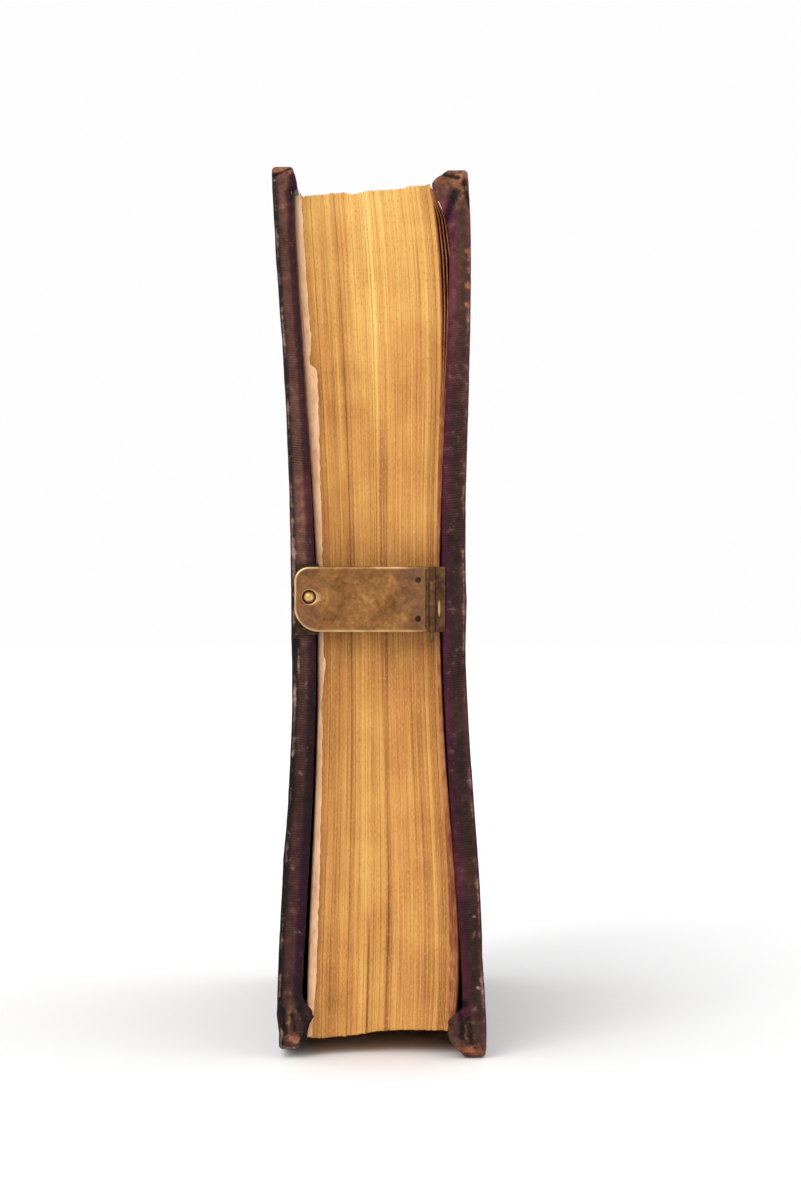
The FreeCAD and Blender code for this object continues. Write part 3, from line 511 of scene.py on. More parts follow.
def curled_leaf(name, side, heights, stand_off, reach_mm, curl_mm, layers, finish_made, node):
    """Free endpaper from the spine to a torn fore-edge that flares from the pages and curls over them.

    stand_off, reach_mm and curl_mm are functions of height: how far the leaf stands off the pages at
    the fore-edge, how far it turns over them and how far it stands out in front of them.
    """
    lines = block_outline()
    sign = -1 if side == "front" else 1
    thick = sizes().paper
    start_y = lines["fore_y"] - 0.1 * MM
    lie = np.concatenate([np.linspace(0, 0.86, 8), np.linspace(0.9, 1.0, 5)])
    turn = np.linspace(0, 1, 8)[1:]
    mesh_points, mesh_faces = [], []
    for layer in range(layers):
        rows = []
        for z in heights:
            fore = lines[side, "fore"](z)
            spine = lines[side, "spine"](z) + sign * 0.08 * MM
            off = stand_off(z) * (1 - 0.3 * layer) * MM
            deep, out = reach_mm(z, layer) * MM, curl_mm(z, layer) * MM
            line = []
            for s in lie:
                flare = off * s ** 6 + (0.08 + 0.16 * layer) * MM * (1 - s ** 6)
                base = spine + (fore - spine) * s
                line.append((base + sign * flare * (1 if s else 0),
                             lines["back_y"] + (start_y - lines["back_y"]) * s))
            edge = fore + sign * off
            for share in turn:
                line.append((edge - sign * deep * share, start_y - out * (1 - (1 - share) ** 3)))
            rows.append(line)
        flat = np.array(rows)
        count = flat.shape[1]
        points = np.zeros((len(heights), count, 3))
        points[:, :, :2] = flat
        points[:, :, 2] = np.asarray(heights)[:, None]
        ripple = noise_at(points.reshape(-1, 3), 5 * MM, 3.0 + layer).reshape(points.shape[:2])
        late = np.clip((np.arange(count) - 12) / 6, 0, 1)
        points[:, :, 1] += ripple * late * 0.12 * MM
        along = np.gradient(points[:, :, :2], axis=1)
        normal = np.stack([-along[:, :, 1], along[:, :, 0]], -1)
        normal /= np.maximum(np.linalg.norm(normal, axis=2, keepdims=True), 1e-9)
        other = points.copy()
        other[:, :, :2] += normal * thick * sign
        ring = np.concatenate([points, other[:, ::-1]], axis=1)
        base_number = sum(len(p) for p in mesh_points)
        mesh_points.append(ring.reshape(-1, 3))
        mesh_faces += [tuple(i + base_number for i in f) for f in closed_tube(len(heights), ring.shape[1])]
    made = build_mesh(name, np.concatenate(mesh_points), mesh_faces)
    made.data.materials.append(finish_made)
    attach(made, "root")
    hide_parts(node)
    return made


# heights in mm, and there: how far the front leaf stands off the pages, and turns over them
FRONT_OFF = ((3, 20, 40, 60, 77, 98, 112, 130, 141, 147),
             (0.55, 0.5, 0.45, 0.45, 0.55, 0.85, 1.0, 1.0, 0.95, 0.8))
FRONT_REACH = (
    (3, 12, 27, 40, 52, 58, 63, 66, 67, 68, 74, 84, 97,
     106, 113, 116.4, 116.9, 118.5, 121, 127, 137, 145, 147),
    (0.6, 1.6, 1.6, 1.2, 1.0, 0.8, 0.7, 1.2, 1.2, 0.8, 0.9, 1.0, 1.3,
     1.7, 2.0, 2.2, 1.1, 1.0, 1.5, 1.35, 1.35, 1.2, 0.5))
BACK_OFF = ((4, 12, 22, 34, 50, 80, 110, 118, 128, 135, 142, 147),
            (0.9, 1.2, 1.2, 0.9, 0.5, 0.35, 0.8, 1.3, 1.8, 1.95, 1.7, 0.2))
BACK_REACH = ((4, 12, 30, 60, 80, 110, 147), (0.3, 0.5, 0.35, 0.2, 0.15, 0.2, 0.15))


def make_endpapers():
    # unsized rag paper: soft, dull and faintly fibrous
    cream = dull_stuff("torn_rag_endpaper", 0.5, (1, 1, 0.25), (
        (0.28, "#d59a6c"), (0.46, colours().paper), (0.65, "#fcd2a8")), 0.85, 0.03)
    # the same paper, reddened by the dye of the leather beside it
    foxed = dull_stuff("browned_back_endpaper", 0.5, (1, 1, 0.25), (
        (0.3, "#7d3d28"), (0.48, "#ab6840"), (0.65, "#cf9464")), 0.85, 0.03)
    low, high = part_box("front_flyleaf")
    heights = np.linspace(low.z + 0.3 * MM, high.z - 0.3 * MM, 220)
    rag = np.random.default_rng(SEED + 2).normal(0, 1, 400)

    def ragged(z, layer):
        h = z / MM
        return 0.04 * rag[int(h + 91 * layer) % 400] + 0.03 * rag[int(h * 3) % 400]

    curled_leaf("torn_front_endpaper", "front", heights, lambda z: np.interp(z / MM, *FRONT_OFF),
                lambda z, layer: np.interp(z / MM, *FRONT_REACH) * np.interp(
                    z / MM, (56, 62), (0.3, 1.0) if layer == 0 else (0.75, 0.15)) + ragged(z, layer),
                lambda z, layer: 0.4 - 0.15 * layer, 2, cream, "front_flyleaf")
    low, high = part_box("back_flyleaf")
    heights = np.linspace(low.z + 0.3 * MM, high.z - 0.3 * MM, 140)
    curled_leaf("back_endpapers", "back", heights, lambda z: np.interp(z / MM, *BACK_OFF),
                lambda z, layer: np.interp(z / MM, *BACK_REACH),
                lambda z, layer: 0.5 - 0.1 * layer, 4, foxed, "back_flyleaf")


THICK = 3.4 * MM           # board and leather together
ARRIS = 0.7 * MM
CORNER = 2.2 * MM


def rounded(p, q, h_low, h_high):
    """Rounds the rims of a slab: p from the fore-edge, q across it, h from tail and head."""
    low = np.stack([p, q, h_low], 1)
    inner_q = np.clip(q, ARRIS, THICK - ARRIS)
    inner_p = np.maximum(p, ARRIS)
    sign = np.where(h_low < h_high, 1.0, -1.0)
    h = np.minimum(h_low, h_high)
    inner_h = np.maximum(h, ARRIS)
    away = np.stack([p - inner_p, q - inner_q, h - inner_h], 1)
    length = np.linalg.norm(away, axis=1)
    most = np.abs(away).max(axis=1)
    scale = np.where(length > 1e-9, most / np.maximum(length, 1e-9), 1.0)
    p2, q2, h2 = inner_p + away[:, 0] * scale, inner_q + away[:, 1] * scale, inner_h + away[:, 2] * scale
    a, b = CORNER - p2, CORNER - h2
    near = (a > 0) & (b > 0)
    size = np.hypot(a, b)
    shrink = np.where(near & (size > 1e-9), np.maximum(a, b) / np.maximum(size, 1e-9), 1.0)
    p3 = np.where(near, CORNER - a * shrink, p2)
    h3 = np.where(near, CORNER - b * shrink, h2)
    return p3, q2, h3 - h, sign


# how the covers are worn and where shade is painted on them, in mm and shares; heights are above the floor,
# "from head" counts downwards
# swell and lean: how far the outer side of the fore-edge stands out and its inner side leans, by height
# push: how far the inner side leans over the pages at a corner, by distance from head and tail
# tone: light and dark of the leather by height, dye: purple by share across at a height
# spots: centre x and z, radii, and what they change; creases: two ends x and z, width, depth, each crease
# darkened with painted shade
COVER_WEAR_AND_SHADE = {
    "front": {
        "swell": ((0, 3, 6.6, 20, 33.5, 43.6, 60.5, 70.6, 87.4, 104, 121, 135, 145, 150),
                  (0, 0, 0.6, 0.9, 1.0, 0.7, 0.5, 0.75, 0.6, 0.28, 0.05, 0.18, 0.2, 0.3)),
        "lean": ((85, 95, 140, 144), (0, -0.15, -0.15, 0)),
        "push_head": ((0.4, 1.4, 3.0, 3.8, 4.5, 6, 8), (0, 0.25, 0.55, 0.6, -0.3, -0.2, 0)),
        "push_tail": ((0, 1.5, 3.0, 5.2, 6.2, 7.4, 8.7, 10), (0, 0.5, 1.2, 1.9, 2.4, 1.9, 0.9, 0)),
        "tone": ((5, 13, 35, 60, 92, 138, 148), (0.50, 0.42, 0.44, 0.50, 0.72, 0.66, 0.60)),
        # outer, middle, inner: tone and dye across the fore-edge from the outer face in; the front's darker
        # outer and inner strips are painted shade
        "outer": (-0.36, 0.0), "middle": (0.10, 0.1), "inner": (-0.26, 0.5),
        "spots": (
            (-16.3, 150.4, 2.0, 1.2, "bare", 1.6), (-16.3, 150.6, 2.2, 1.2, "tone", 0.5),
            (-14.0, 3.3, 1.1, 0.7, "bare", 1.0), (-15.0, 6.8, 0.8, 1.8, "bare", 0.7),
            (-14.0, 0.8, 3.0, 0.6, "bare", 0.6),
            (-12.0, 5.0, 1.6, 3.0, "tone", 0.12), (-12.8, 22, 1.2, 18, "dye", 0.5),
            (-14.1, 85.0, 0.3, 0.9, "rubbed", 0.9), (-14.0, 61, 0.2, 1.3, "rubbed", 0.8),
            (-12.2, 63, 0.15, 2.2, "rubbed", 0.7), (-13.4, 66.8, 0.12, 1.9, "rubbed", 1.0),
            (-13.7, 69.6, 0.5, 1.0, "tone", -0.5), (-14.5, 5.0, 3.5, 5.0, "dye", -1.0)),
        "creases": ((-14.1, 4.9, -14.2, 7.4, 0.3, 0.6), (-12.9, 2.6, -11.6, 6.2, 0.3, 0.35),
                    (-13.3, 8.6, -12.2, 6.4, 0.3, 0.4), (-15.9, 8.4, -15.6, 4.2, 0.3, 0.3),
                    (-17.8, 148.6, -14.6, 150.2, 0.22, 0.25), (-14.6, 146.6, -14.2, 145.0, 0.35, 0.5),
                    (-13.9, 68.8, -13.7, 70.4, 0.4, 0.3)),
    },
    "back": {
        "swell": ((0, 5, 17, 30, 44, 54, 67, 77, 94, 111, 141, 149),
                  (0.2, 0.35, 0.2, 0.6, 0.6, 0.55, 0.5, 0.8, 0.55, 0.55, 0.2, 0)),
        "lean": ((0, 150), (0, 0)),
        "push_head": ((0, 0.8, 1.6, 2.5, 4, 6, 8, 10.5, 12), (0.6, 1.4, 2.3, 3.0, 2.6, 1.7, 0.9, 0.15, 0)),
        "push_tail": ((0, 1.5, 2.6, 3.9, 6.0, 7.4, 8.6), (0.3, 1.4, 2.3, 2.9, 2.9, 1.6, 0)),
        "tone": ((3, 10, 27, 52, 84, 111, 138, 148), (0.52, 0.50, 0.48, 0.44, 0.46, 0.60, 0.58, 0.68)),
        "outer": (0.12, 0.35), "middle": (-0.04, 0.0), "inner": (0.02, 1.0),
        "spots": (
            (12.0, 147.0, 4.0, 5.5, "dye", -1.2), (13.8, 3.2, 2.6, 3.2, "dye", -0.8),
            (13.6, 147.6, 2.6, 3.2, "bare", 0.55), (10.4, 148.6, 2.2, 1.8, "bare", 0.45),
            (15.6, 1.0, 3.2, 1.2, "bare", 0.9), (14.9, 4.2, 0.9, 2.6, "bare", 0.4),
            (12.2, 143.2, 0.9, 2.6, "dye", 2.4), (12.2, 143.2, 0.9, 2.6, "tone", -0.3),
            (12.2, 143.2, 1.0, 2.8, "bare", -1.5), (14.0, 9.0, 0.9, 0.8, "tone", -0.4),
            (14.7, 7.7, 1.1, 0.5, "dye", 1.4), (12.4, 5.0, 1.3, 3.4, "dye", -1.0),
            (12.6, 5.2, 0.9, 2.8, "tone", -0.2),
            (13.0, 128, 1.4, 14, "tone", 0.14), (15.3, 136.2, 0.5, 0.5, "bare", 1.2),
            (15.2, 130.3, 0.5, 0.5, "bare", 1.2), (15.0, 127.1, 0.4, 0.4, "bare", 1.2),
            (16.9, 12.0, 0.22, 0.22, "rubbed", 1.3), (16.2, 24.0, 0.22, 0.22, "rubbed", 1.3)),
        "creases": ((11.4, 141.0, 13.0, 146.0, 0.45, 0.9), (13.2, 8.6, 14.7, 9.3, 0.4, 0.8),
                    (13.9, 7.6, 14.2, 3.4, 0.3, 0.45), (15.2, 6.8, 15.6, 2.6, 0.25, 0.3),
                    (14.6, 147.8, 15.4, 143.5, 0.3, 0.3), (10.4, 149.2, 13.6, 148.4, 0.3, 0.25)),
    },
}


def make_cover(side):
    """Leather skin of one cover: bowed faces, a tooled edge, worn corners and folded turn-ins."""
    node, wear_and_shade = side + "_leather", COVER_WEAR_AND_SHADE[side]
    sign = -1 if side == "front" else 1
    solid = surface_of(node)
    low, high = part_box(node)
    fore, wide, tall = low.y, high.y - low.y, high.z - low.z
    samples = np.linspace(low.z + 6 * MM, high.z - 4 * MM, 40)
    near = edge_line(solid, 0, sign, lambda z: (sign * FAR, FORE_AT, z), samples, 6)
    deep = edge_line(solid, 0, sign, lambda z: (sign * FAR, SPINE_AT, z), samples, 4)
    tail = edge_line(solid, 2, -1, lambda y: (sign * (abs(near(0.02)) - 1.7 * MM), y, -0.1),
                     np.linspace(fore + 3 * MM, fore + 30 * MM, 28), 5)
    pitch = sizes().roll_pitch
    us = np.array([0, 0.04, 0.09, 0.15, 0.206, 0.28, 0.36, 0.44,
                   0.52, 0.6, 0.68, 0.75, 0.81, 0.87, 0.93, 1])
    vs = np.concatenate([[0, 0.15, 0.35, 0.6, 0.9, 1.25, 1.7, 2.2, 2.8, 3.6, 4.6, 6.0, 7.9, 8.0],
                         np.linspace(12, LEAF_WIDE, 15)]) / LEAF_WIDE
    ends = np.array([0, 0.1, 0.22, 0.38, 0.55, 0.72]) * MM / tall
    middle = np.linspace(0.9 * MM / tall, 1 - 0.9 * MM / tall, int(tall / pitch) * 3)
    shares, faces = box_lattice(us, vs, np.concatenate([ends, middle, 1 - ends[::-1]]))
    q, p, h = shares[:, 0] * THICK, shares[:, 1] * wide, shares[:, 2] * tall
    p3, q3, shift, way = rounded(p, q, h, tall - h)
    z, y = low.z + h + shift * way, fore + p3
    points = np.stack([q * sign, y, z], 1)
    # the roll-tooled lines on the fore-edge, worn flat in places
    worn_roll = np.clip(0.75 + 1.1 * noise_at(points, 9 * MM, 5.0 + sign), 0.1, 1)
    from_end = np.minimum(h, tall - h)
    on_edge = np.clip((1.3 * MM - p) / (0.8 * MM), 0, 1) * np.clip((from_end - 6 * MM) / (6 * MM), 0, 1)
    roll = (0.5 - 0.5 * np.cos(2 * math.pi * (z + 0.12 * q3) / pitch)) * on_edge * worn_roll
    soft = noise_at(points, 7 * MM, 8.0 + sign) * 0.12 * MM
    pitted = noise_at(points, 1.4 * MM, 9.0 + sign) * 0.06 * MM
    y = y + roll * sizes().roll_depth + (soft + pitted) * np.exp(-p / (2 * MM))
    q3 = q3 + np.where(q < THICK * 0.3, 1, -1) * np.where(p > 0, (soft + pitted) * 0.6, 0)
    # the pastedown lies in the frame of the turn-ins, so the leather under it dips
    window = (p > 7.95 * MM) & (from_end > 8 * MM) & (q > THICK * 0.99)
    q3 = np.where(window, q3 - 0.22 * MM, q3)
    x = near(z) + (deep(z) - near(z)) * (y - FORE_AT) / (SPINE_AT - FORE_AT) - sign * q3
    rise = np.clip(tail(np.clip(y, fore + 3 * MM, fore + 30 * MM)) - low.z, 0, None) * (y < fore + 30 * MM)
    z = z + rise * np.clip(1 - h / (30 * MM), 0, 1) ** 2
    # folded corners: the turned-in leather leans over the ends of the pages, crumpled
    push = (np.interp(h / MM, *wear_and_shade["push_tail"]) + np.interp((tall - h) / MM, *wear_and_shade["push_head"])
            + np.interp(h / MM, *wear_and_shade["lean"]))
    across = q / THICK
    x = x + sign * np.interp(h / MM, *wear_and_shade["swell"]) * MM * (1 - across) * np.exp(-(p / (30 * MM)) ** 2)
    at_corner = np.clip((across - 0.3) / 0.6, 0, 1) ** 1.3 * np.exp(-(p / (3.0 * MM)) ** 2)
    crumple = noise_at(np.stack([x, y, z], 1), 1.5 * MM, 11.0 + sign)
    crumple += 0.5 * noise_at(np.stack([x, y, z], 1), 0.6 * MM, 12.0 + sign)
    x = x - sign * push * MM * at_corner * (1 + 0.25 * crumple)
    folded = np.exp(-((from_end / (8 * MM)) ** 2)) * np.exp(-(p / (4 * MM)) ** 2)
    y = y + folded * crumple * 0.22 * MM
    x = x + sign * folded * crumple * 0.12 * MM * (across > 0.2)
    xm, zm, front_side = x / MM, z / MM, np.exp(-(p / (2.2 * MM)) ** 2)
    # tone and dye by strip across the fore-edge; on the front the darker outer and inner strips are painted
    # shade, on the bevel that turns away and in the gap by the pages
    tone, dye = [np.interp(across, (0.14, 0.3, 0.6, 0.76), [
        wear_and_shade[strip][number] for strip in ("outer", "middle", "middle", "inner")]) * front_side
        for number in (0, 1)]
    plain = 0.56           # tone of the faces, away from the fore-edge
    values = {
        "tone": plain + (np.interp(zm, *wear_and_shade["tone"]) - plain) * np.exp(-(p / (20 * MM)) ** 2) + tone,
        "dye": dye,
        "rubbed": np.exp(-((q - 0.3 * MM) / (0.3 * MM)) ** 2) * np.exp(-p / (0.9 * MM)) * np.clip(
            0.25 + noise_at(points, 6 * MM, 13.0 + sign), 0, 0.6)
        + np.exp(-from_end / (0.7 * MM)) * 0.3,
        "bare": np.zeros(len(x))}
    for cx, cz, rx, rz, key, amount in wear_and_shade["spots"]:
        there = np.exp(-((xm - cx) / rx) ** 2 - ((zm - cz) / rz) ** 2)
        values[key] = values[key] + amount * front_side * there
    for ax, az, bx, bz, width, depth in wear_and_shade["creases"]:
        span = np.array([bx - ax, bz - az])
        along = np.clip(((xm - ax) * span[0] + (zm - az) * span[1]) / (span @ span), 0, 1)
        gap = np.hypot(xm - ax - along * span[0], zm - az - along * span[1])
        near_line = np.exp(-(gap / width) ** 2) * front_side
        y = y + min(depth, 0.3) * MM * near_line
        # painted shade: the leather along each crease is darkened and its tan taken away
        values["tone"] = values["tone"] - 0.6 * near_line
        values["bare"] = values["bare"] - near_line
    made = build_mesh(side + "_cover_leather", np.stack([x, y, np.maximum(z, low.z)], 1), faces, {
        **{key: np.clip(value, 0, 1) for key, value in values.items()},
        "roll": roll * 0.55 + 0.2 * on_edge})
    made.data.materials.append(calf("faded_%s_leather" % side))
    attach(made, side + "_cover")
    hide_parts(node)
    return made


def joint_strip(side):
    """Leather over the joint, from the cover's outer face to the shoulder of the spine."""
    sign = -1 if side == "front" else 1
    solid = surface_of(side + "_leather")
    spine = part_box("spine_leather")
    low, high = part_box(side + "_leather")
    heights = np.linspace(low.z + 0.3 * MM, high.z - 0.6 * MM, 90)
    outer = edge_line(solid, 0, sign, lambda z: (sign * FAR, SPINE_AT, z), heights, 4)
    thick = 0.30 * MM
    rows = []
    for z in heights:
        face = abs(outer(z))
        line = [(face + 0.04 * MM, 41.5 * MM), (face + 0.20 * MM, 43.0 * MM), (face + 0.26 * MM, 44.5 * MM),
                (face + 0.05 * MM, 45.8 * MM), (face - 0.28 * MM, 46.8 * MM), (face - 0.42 * MM, 47.5 * MM),
                (face - 0.35 * MM, 48.3 * MM), (face - 0.55 * MM, 49.2 * MM), (face - 1.25 * MM, 50.0 * MM)]
        back = [(a - thick, b - 0.1 * MM) for a, b in line]
        rows.append([(sign * a, b, z) for a, b in line + back[::-1]])
    ring = np.array(rows)
    made = build_mesh(side + "_joint_leather", ring.reshape(-1, 3),
                      closed_tube(len(heights), ring.shape[1]))
    made.data.materials.append(bpy.data.materials["grained_spine_leather"])
    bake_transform(made)
    return made


def endband_tree():
    """Rings of thread along a line, as one mesh."""
    tree = bpy.data.node_groups.new("endband_wraps", "GeometryNodeTree")
    face = tree.interface
    face.new_socket("Geometry", in_out="INPUT", socket_type="NodeSocketGeometry")
    for name, start in (("Pitch", 0.0005), ("Core", 0.0008), ("Thread", 0.0002)):
        face.new_socket(name, in_out="INPUT", socket_type="NodeSocketFloat").default_value = start
    face.new_socket("First", in_out="INPUT", socket_type="NodeSocketMaterial")
    face.new_socket("Geometry", in_out="OUTPUT", socket_type="NodeSocketGeometry")
    given = add(tree, "NodeGroupInput")
    line = add(tree, "GeometryNodeMeshToCurve", {0: given.outputs["Geometry"]})
    marks = add(tree, "GeometryNodeResampleCurve",
                {"Curve": line.outputs[0], "Length": given.outputs["Pitch"]}, mode="LENGTH")
    ring = add(tree, "GeometryNodeCurvePrimitiveCircle",
               {"Resolution": 12, "Radius": given.outputs["Core"]}, mode="RADIUS")
    strand = add(tree, "GeometryNodeCurvePrimitiveCircle",
                 {"Resolution": 5, "Radius": given.outputs["Thread"]}, mode="RADIUS")
    wrap = add(tree, "GeometryNodeCurveToMesh",
               {"Curve": ring.outputs[0], "Profile Curve": strand.outputs[0]})
    tangent = add(tree, "GeometryNodeInputTangent")
    turned = add(tree, "FunctionNodeAlignRotationToVector", {"Vector": tangent.outputs[0]}, axis="Z")
    placed = add(tree, "GeometryNodeInstanceOnPoints", {
        "Points": marks.outputs[0], "Instance": wrap.outputs[0], "Rotation": turned.outputs[0]})
    real = add(tree, "GeometryNodeRealizeInstances", {0: placed.outputs[0]})
    smooth = add(tree, "GeometryNodeSetShadeSmooth", {0: real.outputs[0]})
    done = add(tree, "GeometryNodeSetMaterial",
               {"Geometry": smooth.outputs[0], "Material": given.outputs["First"]})
    add(tree, "NodeGroupOutput", {0: done.outputs[0]})
    return tree


def socket_of(tree, name):
    return next(s.identifier for s in tree.interface.items_tree
                if s.name == name and s.in_out == "INPUT")


def make_endbands():
    """Worked endbands: two colours of thread in turn, over a cord along each end of the spine."""
    tree = endband_tree()
    # twisted linen thread and cord: matt
    dark, pale, core_made = [
        dull_stuff(name, 0.25, (1, 1, 1), ((0.3, shade), (0.6, light)), 0.8, 0.03)
        for name, shade, light in (("madder_thread", "#4a1d19", "#7c2f2a"),
                                   ("undyed_thread", "#8a6f4c", "#c9a878"),
                                   ("endband_cord", "#6d5638", "#a98a60"))]
    pitch = sizes().thread_pitch
    for end in ("top", "tail"):
        node = "headband_" + end
        low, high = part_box(node)
        solid = surface_of(node)
        height = (low.z + high.z) / 2
        radius = 0.86 * MM
        way = 1 if end == "top" else -1
        wide = np.linspace(low.x + 1.0 * MM, high.x - 1.0 * MM, 49)
        front = edge_line(solid, 1, -1, lambda x: (x, -0.1, height), wide, 6)
        back = edge_line(solid, 1, 1, lambda x: (x, 0.2, height), wide, 6)
        base_z = height + way * 0.45 * MM
        track = [(x, (front(x) + back(x)) / 2, base_z) for x in wide]
        for number, (name, made) in enumerate((("dark", dark), ("pale", pale))):
            mesh = bpy.data.meshes.new("track")
            shift = number * pitch
            points = [(x + shift, (front(x + shift) + back(x + shift)) / 2, base_z)
                      for x in wide if x + shift < high.x - 0.9 * MM]
            mesh.from_pydata(points, [(i, i + 1) for i in range(len(points) - 1)], [])
            holder = put("track", mesh)
            modifier = holder.modifiers.new("wraps", "NODES")
            modifier.node_group = tree
            for key, value in (("Pitch", 2 * pitch), ("Core", radius - 0.16 * MM),
                               ("Thread", 0.2 * MM), ("First", made)):
                modifier[socket_of(tree, key)] = value
            bpy.context.view_layer.update()
            graph = bpy.context.evaluated_depsgraph_get()
            worked = bpy.data.meshes.new_from_object(holder.evaluated_get(graph))
            holder.modifiers.clear()
            bpy.data.objects.remove(holder)
            piece = put("endband_%s_%s_thread" % (end, name), worked)
            worked.name = piece.name
            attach(piece, "root")
        around = 14
        inner = radius - 0.25 * MM
        ring = np.array([[(x, y + inner * math.cos(a), z + inner * math.sin(a))
                          for a in np.linspace(0, 2 * math.pi, around, endpoint=False)]
                         for x, y, z in track])
        cord = build_mesh("endband_%s_core" % end, ring.reshape(-1, 3), closed_tube(len(track), around))
        cord.data.materials.append(core_made)
        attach(cord, "root")
        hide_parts(node)


def make_stage():
    """Pale floor in a white room, a soft sun from the upper left, and a camera square to the fore-edge."""
    mesh = bpy.data.meshes.new("studio_floor")
    mesh.from_pydata([(x, y, -0.1 * MM) for y in (-4, 4) for x in (-4, 4)], [], [(0, 1, 3, 2)])
    # seamless background paper: flat white and matt
    mesh.materials.append(dull_stuff("background_paper", 1.5, (1, 1, 1), (
        (0.3, "#fafafa"), (0.7, "#fcfcfc")), 0.95, 0.01))
    floor = put("studio_floor", mesh)

    world = bpy.data.worlds.new("white_room")
    bpy.context.scene.world = world
    world.use_nodes = True
    for number, value in enumerate(((1, 1, 1, 1), 0.985)):
        world.node_tree.nodes["Background"].inputs[number].default_value = value

    lamp = bpy.data.lights.new("soft_sun", "SUN")
    lamp.energy, lamp.angle = 1.15, math.radians(35)
    holder = put("soft_sun", lamp)
    holder.rotation_euler = Vector((0.42, 0.72, -0.62)).to_track_quat("-Z", "Y").to_euler()

    # the photograph's frame is 801 x 1200 and shows 202 mm of height at the fore-edge
    distance, tall_view, centre_x, centre_z = 0.45, 0.2021, 0.0038, 0.0773
    lens = bpy.data.cameras.new("photo_camera")
    lens.sensor_fit, lens.sensor_height, lens.sensor_width = "VERTICAL", 36.0, 36.0
    lens.lens = 36.0 * distance / tall_view
    lens.shift_x = centre_x / tall_view
    lens.dof.use_dof = False
    camera = put("photo_camera", lens)
    camera.location = (0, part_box("front_leather")[0].y - distance, centre_z)
    camera.rotation_euler = (math.pi / 2, 0, 0)
    bpy.context.scene.camera = camera
    bpy.context.scene.view_settings.view_transform = "Standard"


def make_hasp():
    """Sheet-brass hasp round its stud hole: bevels worn bright with a painted highlight on the top bevel,
    small dents, tarnish at both ends.
    """
    solid = surface_of("hasp_plate")
    low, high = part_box("hasp_plate")
    stud_low, stud_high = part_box("catch_stud")
    centre = ((stud_low.x + stud_high.x) / 2, (stud_low.z + stud_high.z) / 2)
    middle = (low.y + high.y) / 2
    corners = [math.atan2(z - centre[1], high.x - centre[0]) for z in (low.z, high.z)]
    even = np.linspace(-math.pi, math.pi, 150, endpoint=False)
    apart = np.abs(even[:, None] - np.array(corners)).min(axis=1) > 0.02
    angles = np.sort(np.concatenate([even[apart], corners]))
    rim, hole = [], []
    start = Vector((centre[0], middle, centre[1]))
    for angle in angles:
        ray = Vector((math.cos(angle), 0, math.sin(angle)))
        rim.append(reach(solid, start + ray * 0.05, -ray))
        hole.append(reach(solid, start, ray))
    rim, hole = [np.array([(p.x, p.z) for p in line]) for line in (rim, hole)]
    along = np.roll(rim, -1, 0) - np.roll(rim, 1, 0)
    inward = np.stack([-along[:, 1], along[:, 0]], 1)
    inward /= np.linalg.norm(inward, axis=1, keepdims=True)
    bevel, front, back = 0.32 * MM, low.y + 0.02 * MM, high.y
    out = hole - np.array(centre)
    out /= np.linalg.norm(out, axis=1, keepdims=True)
    # one ring per row: offset share from hole to rim, depth and bright edge
    rows = [(hole, back, 0.0), (hole, front + 0.12 * MM, 0.6), (hole + out * 0.12 * MM, front, 0.5)]
    start, end = hole + out * 0.12 * MM, rim + inward * bevel
    for share in np.linspace(0.06, 0.94, 18):
        rows.append((start + (end - start) * share, front, 0.0))
    rows += [(end, front, 0.25), (rim + inward * bevel * 0.45, front + 0.06 * MM, 1.0),
             (rim, front + 0.20 * MM, 0.9), (rim, back, 0.1)]
    points = np.array([np.stack([ring[:, 0], np.full(len(ring), depth), ring[:, 1]], 1)
                       for ring, depth, _ in rows])
    edge = np.repeat([bright for _, _, bright in rows], len(angles)).reshape(len(rows), -1)
    flat = points.reshape(-1, 3)
    dents = noise_at(flat, 3.5 * MM, 21.0) * 0.05 * MM + noise_at(flat, 1.2 * MM, 22.0) * 0.015 * MM
    flat[:, 1] += np.where(flat[:, 1] < middle, np.abs(dents), 0)
    xm, zm = flat[:, 0] / MM, flat[:, 2] / MM
    # painted highlight: on the top bevel the bright edge is kept whole only from x -0.2 to 3.2 mm and cut
    # to a quarter elsewhere; the right end is cut to a fifth
    on_top = zm > (high.z / MM - 0.9)
    kept = np.where(on_top & (xm > -10) & ((xm < -0.2) | (xm > 3.2)), 0.25, 1.0)
    kept = np.where(xm > high.x / MM - 0.5, 0.2, kept)
    patchy = np.clip(0.85 + 0.6 * noise_at(flat, 2.0 * MM, 23.0), 0.3, 1)
    tarnish = np.clip((xm - 2.0) / 8.0, 0, 0.5) + 0.45 * np.exp(-((xm + 12.5) / 3.0) ** 2) + 0.75 * np.exp(
        -((xm - 4.7) / 1.1) ** 2 - ((zm - 81.9) / 0.8) ** 2)
    tarnish *= np.clip(0.7 + 0.9 * noise_at(flat, 1.6 * MM, 24.0), 0, 1.2)
    number = np.arange(len(flat)).reshape(len(rows), -1)
    turned, inner = np.roll(number, -1, 1), np.roll(number, -1, 0)
    faces = np.stack([number, turned, np.roll(turned, -1, 0), inner], -1).reshape(-1, 4)
    made = build_mesh("worn_hasp", flat, faces, {
        "edge": edge.ravel() * kept * patchy, "tarnish": np.clip(tarnish, 0, 1)})
    made.data.materials.append(bpy.data.materials["handled_sheet_brass"])
    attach(made, "clasp")
    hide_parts("hasp_plate")
    return made


class BOOK_OT_pages(bpy.types.Operator):
    """Builds the gilt leaves over the solid block"""
    bl_idname = "book.pages"
    bl_label = "Pages"

    def execute(self, context):
        make_pages()
        return {"FINISHED"}


class BOOK_OT_endpapers(bpy.types.Operator):
    """Builds the torn front endpaper and the browned back one"""
    bl_idname = "book.endpapers"
    bl_label = "Endpapers"

    def execute(self, context):
        make_endpapers()
        return {"FINISHED"}


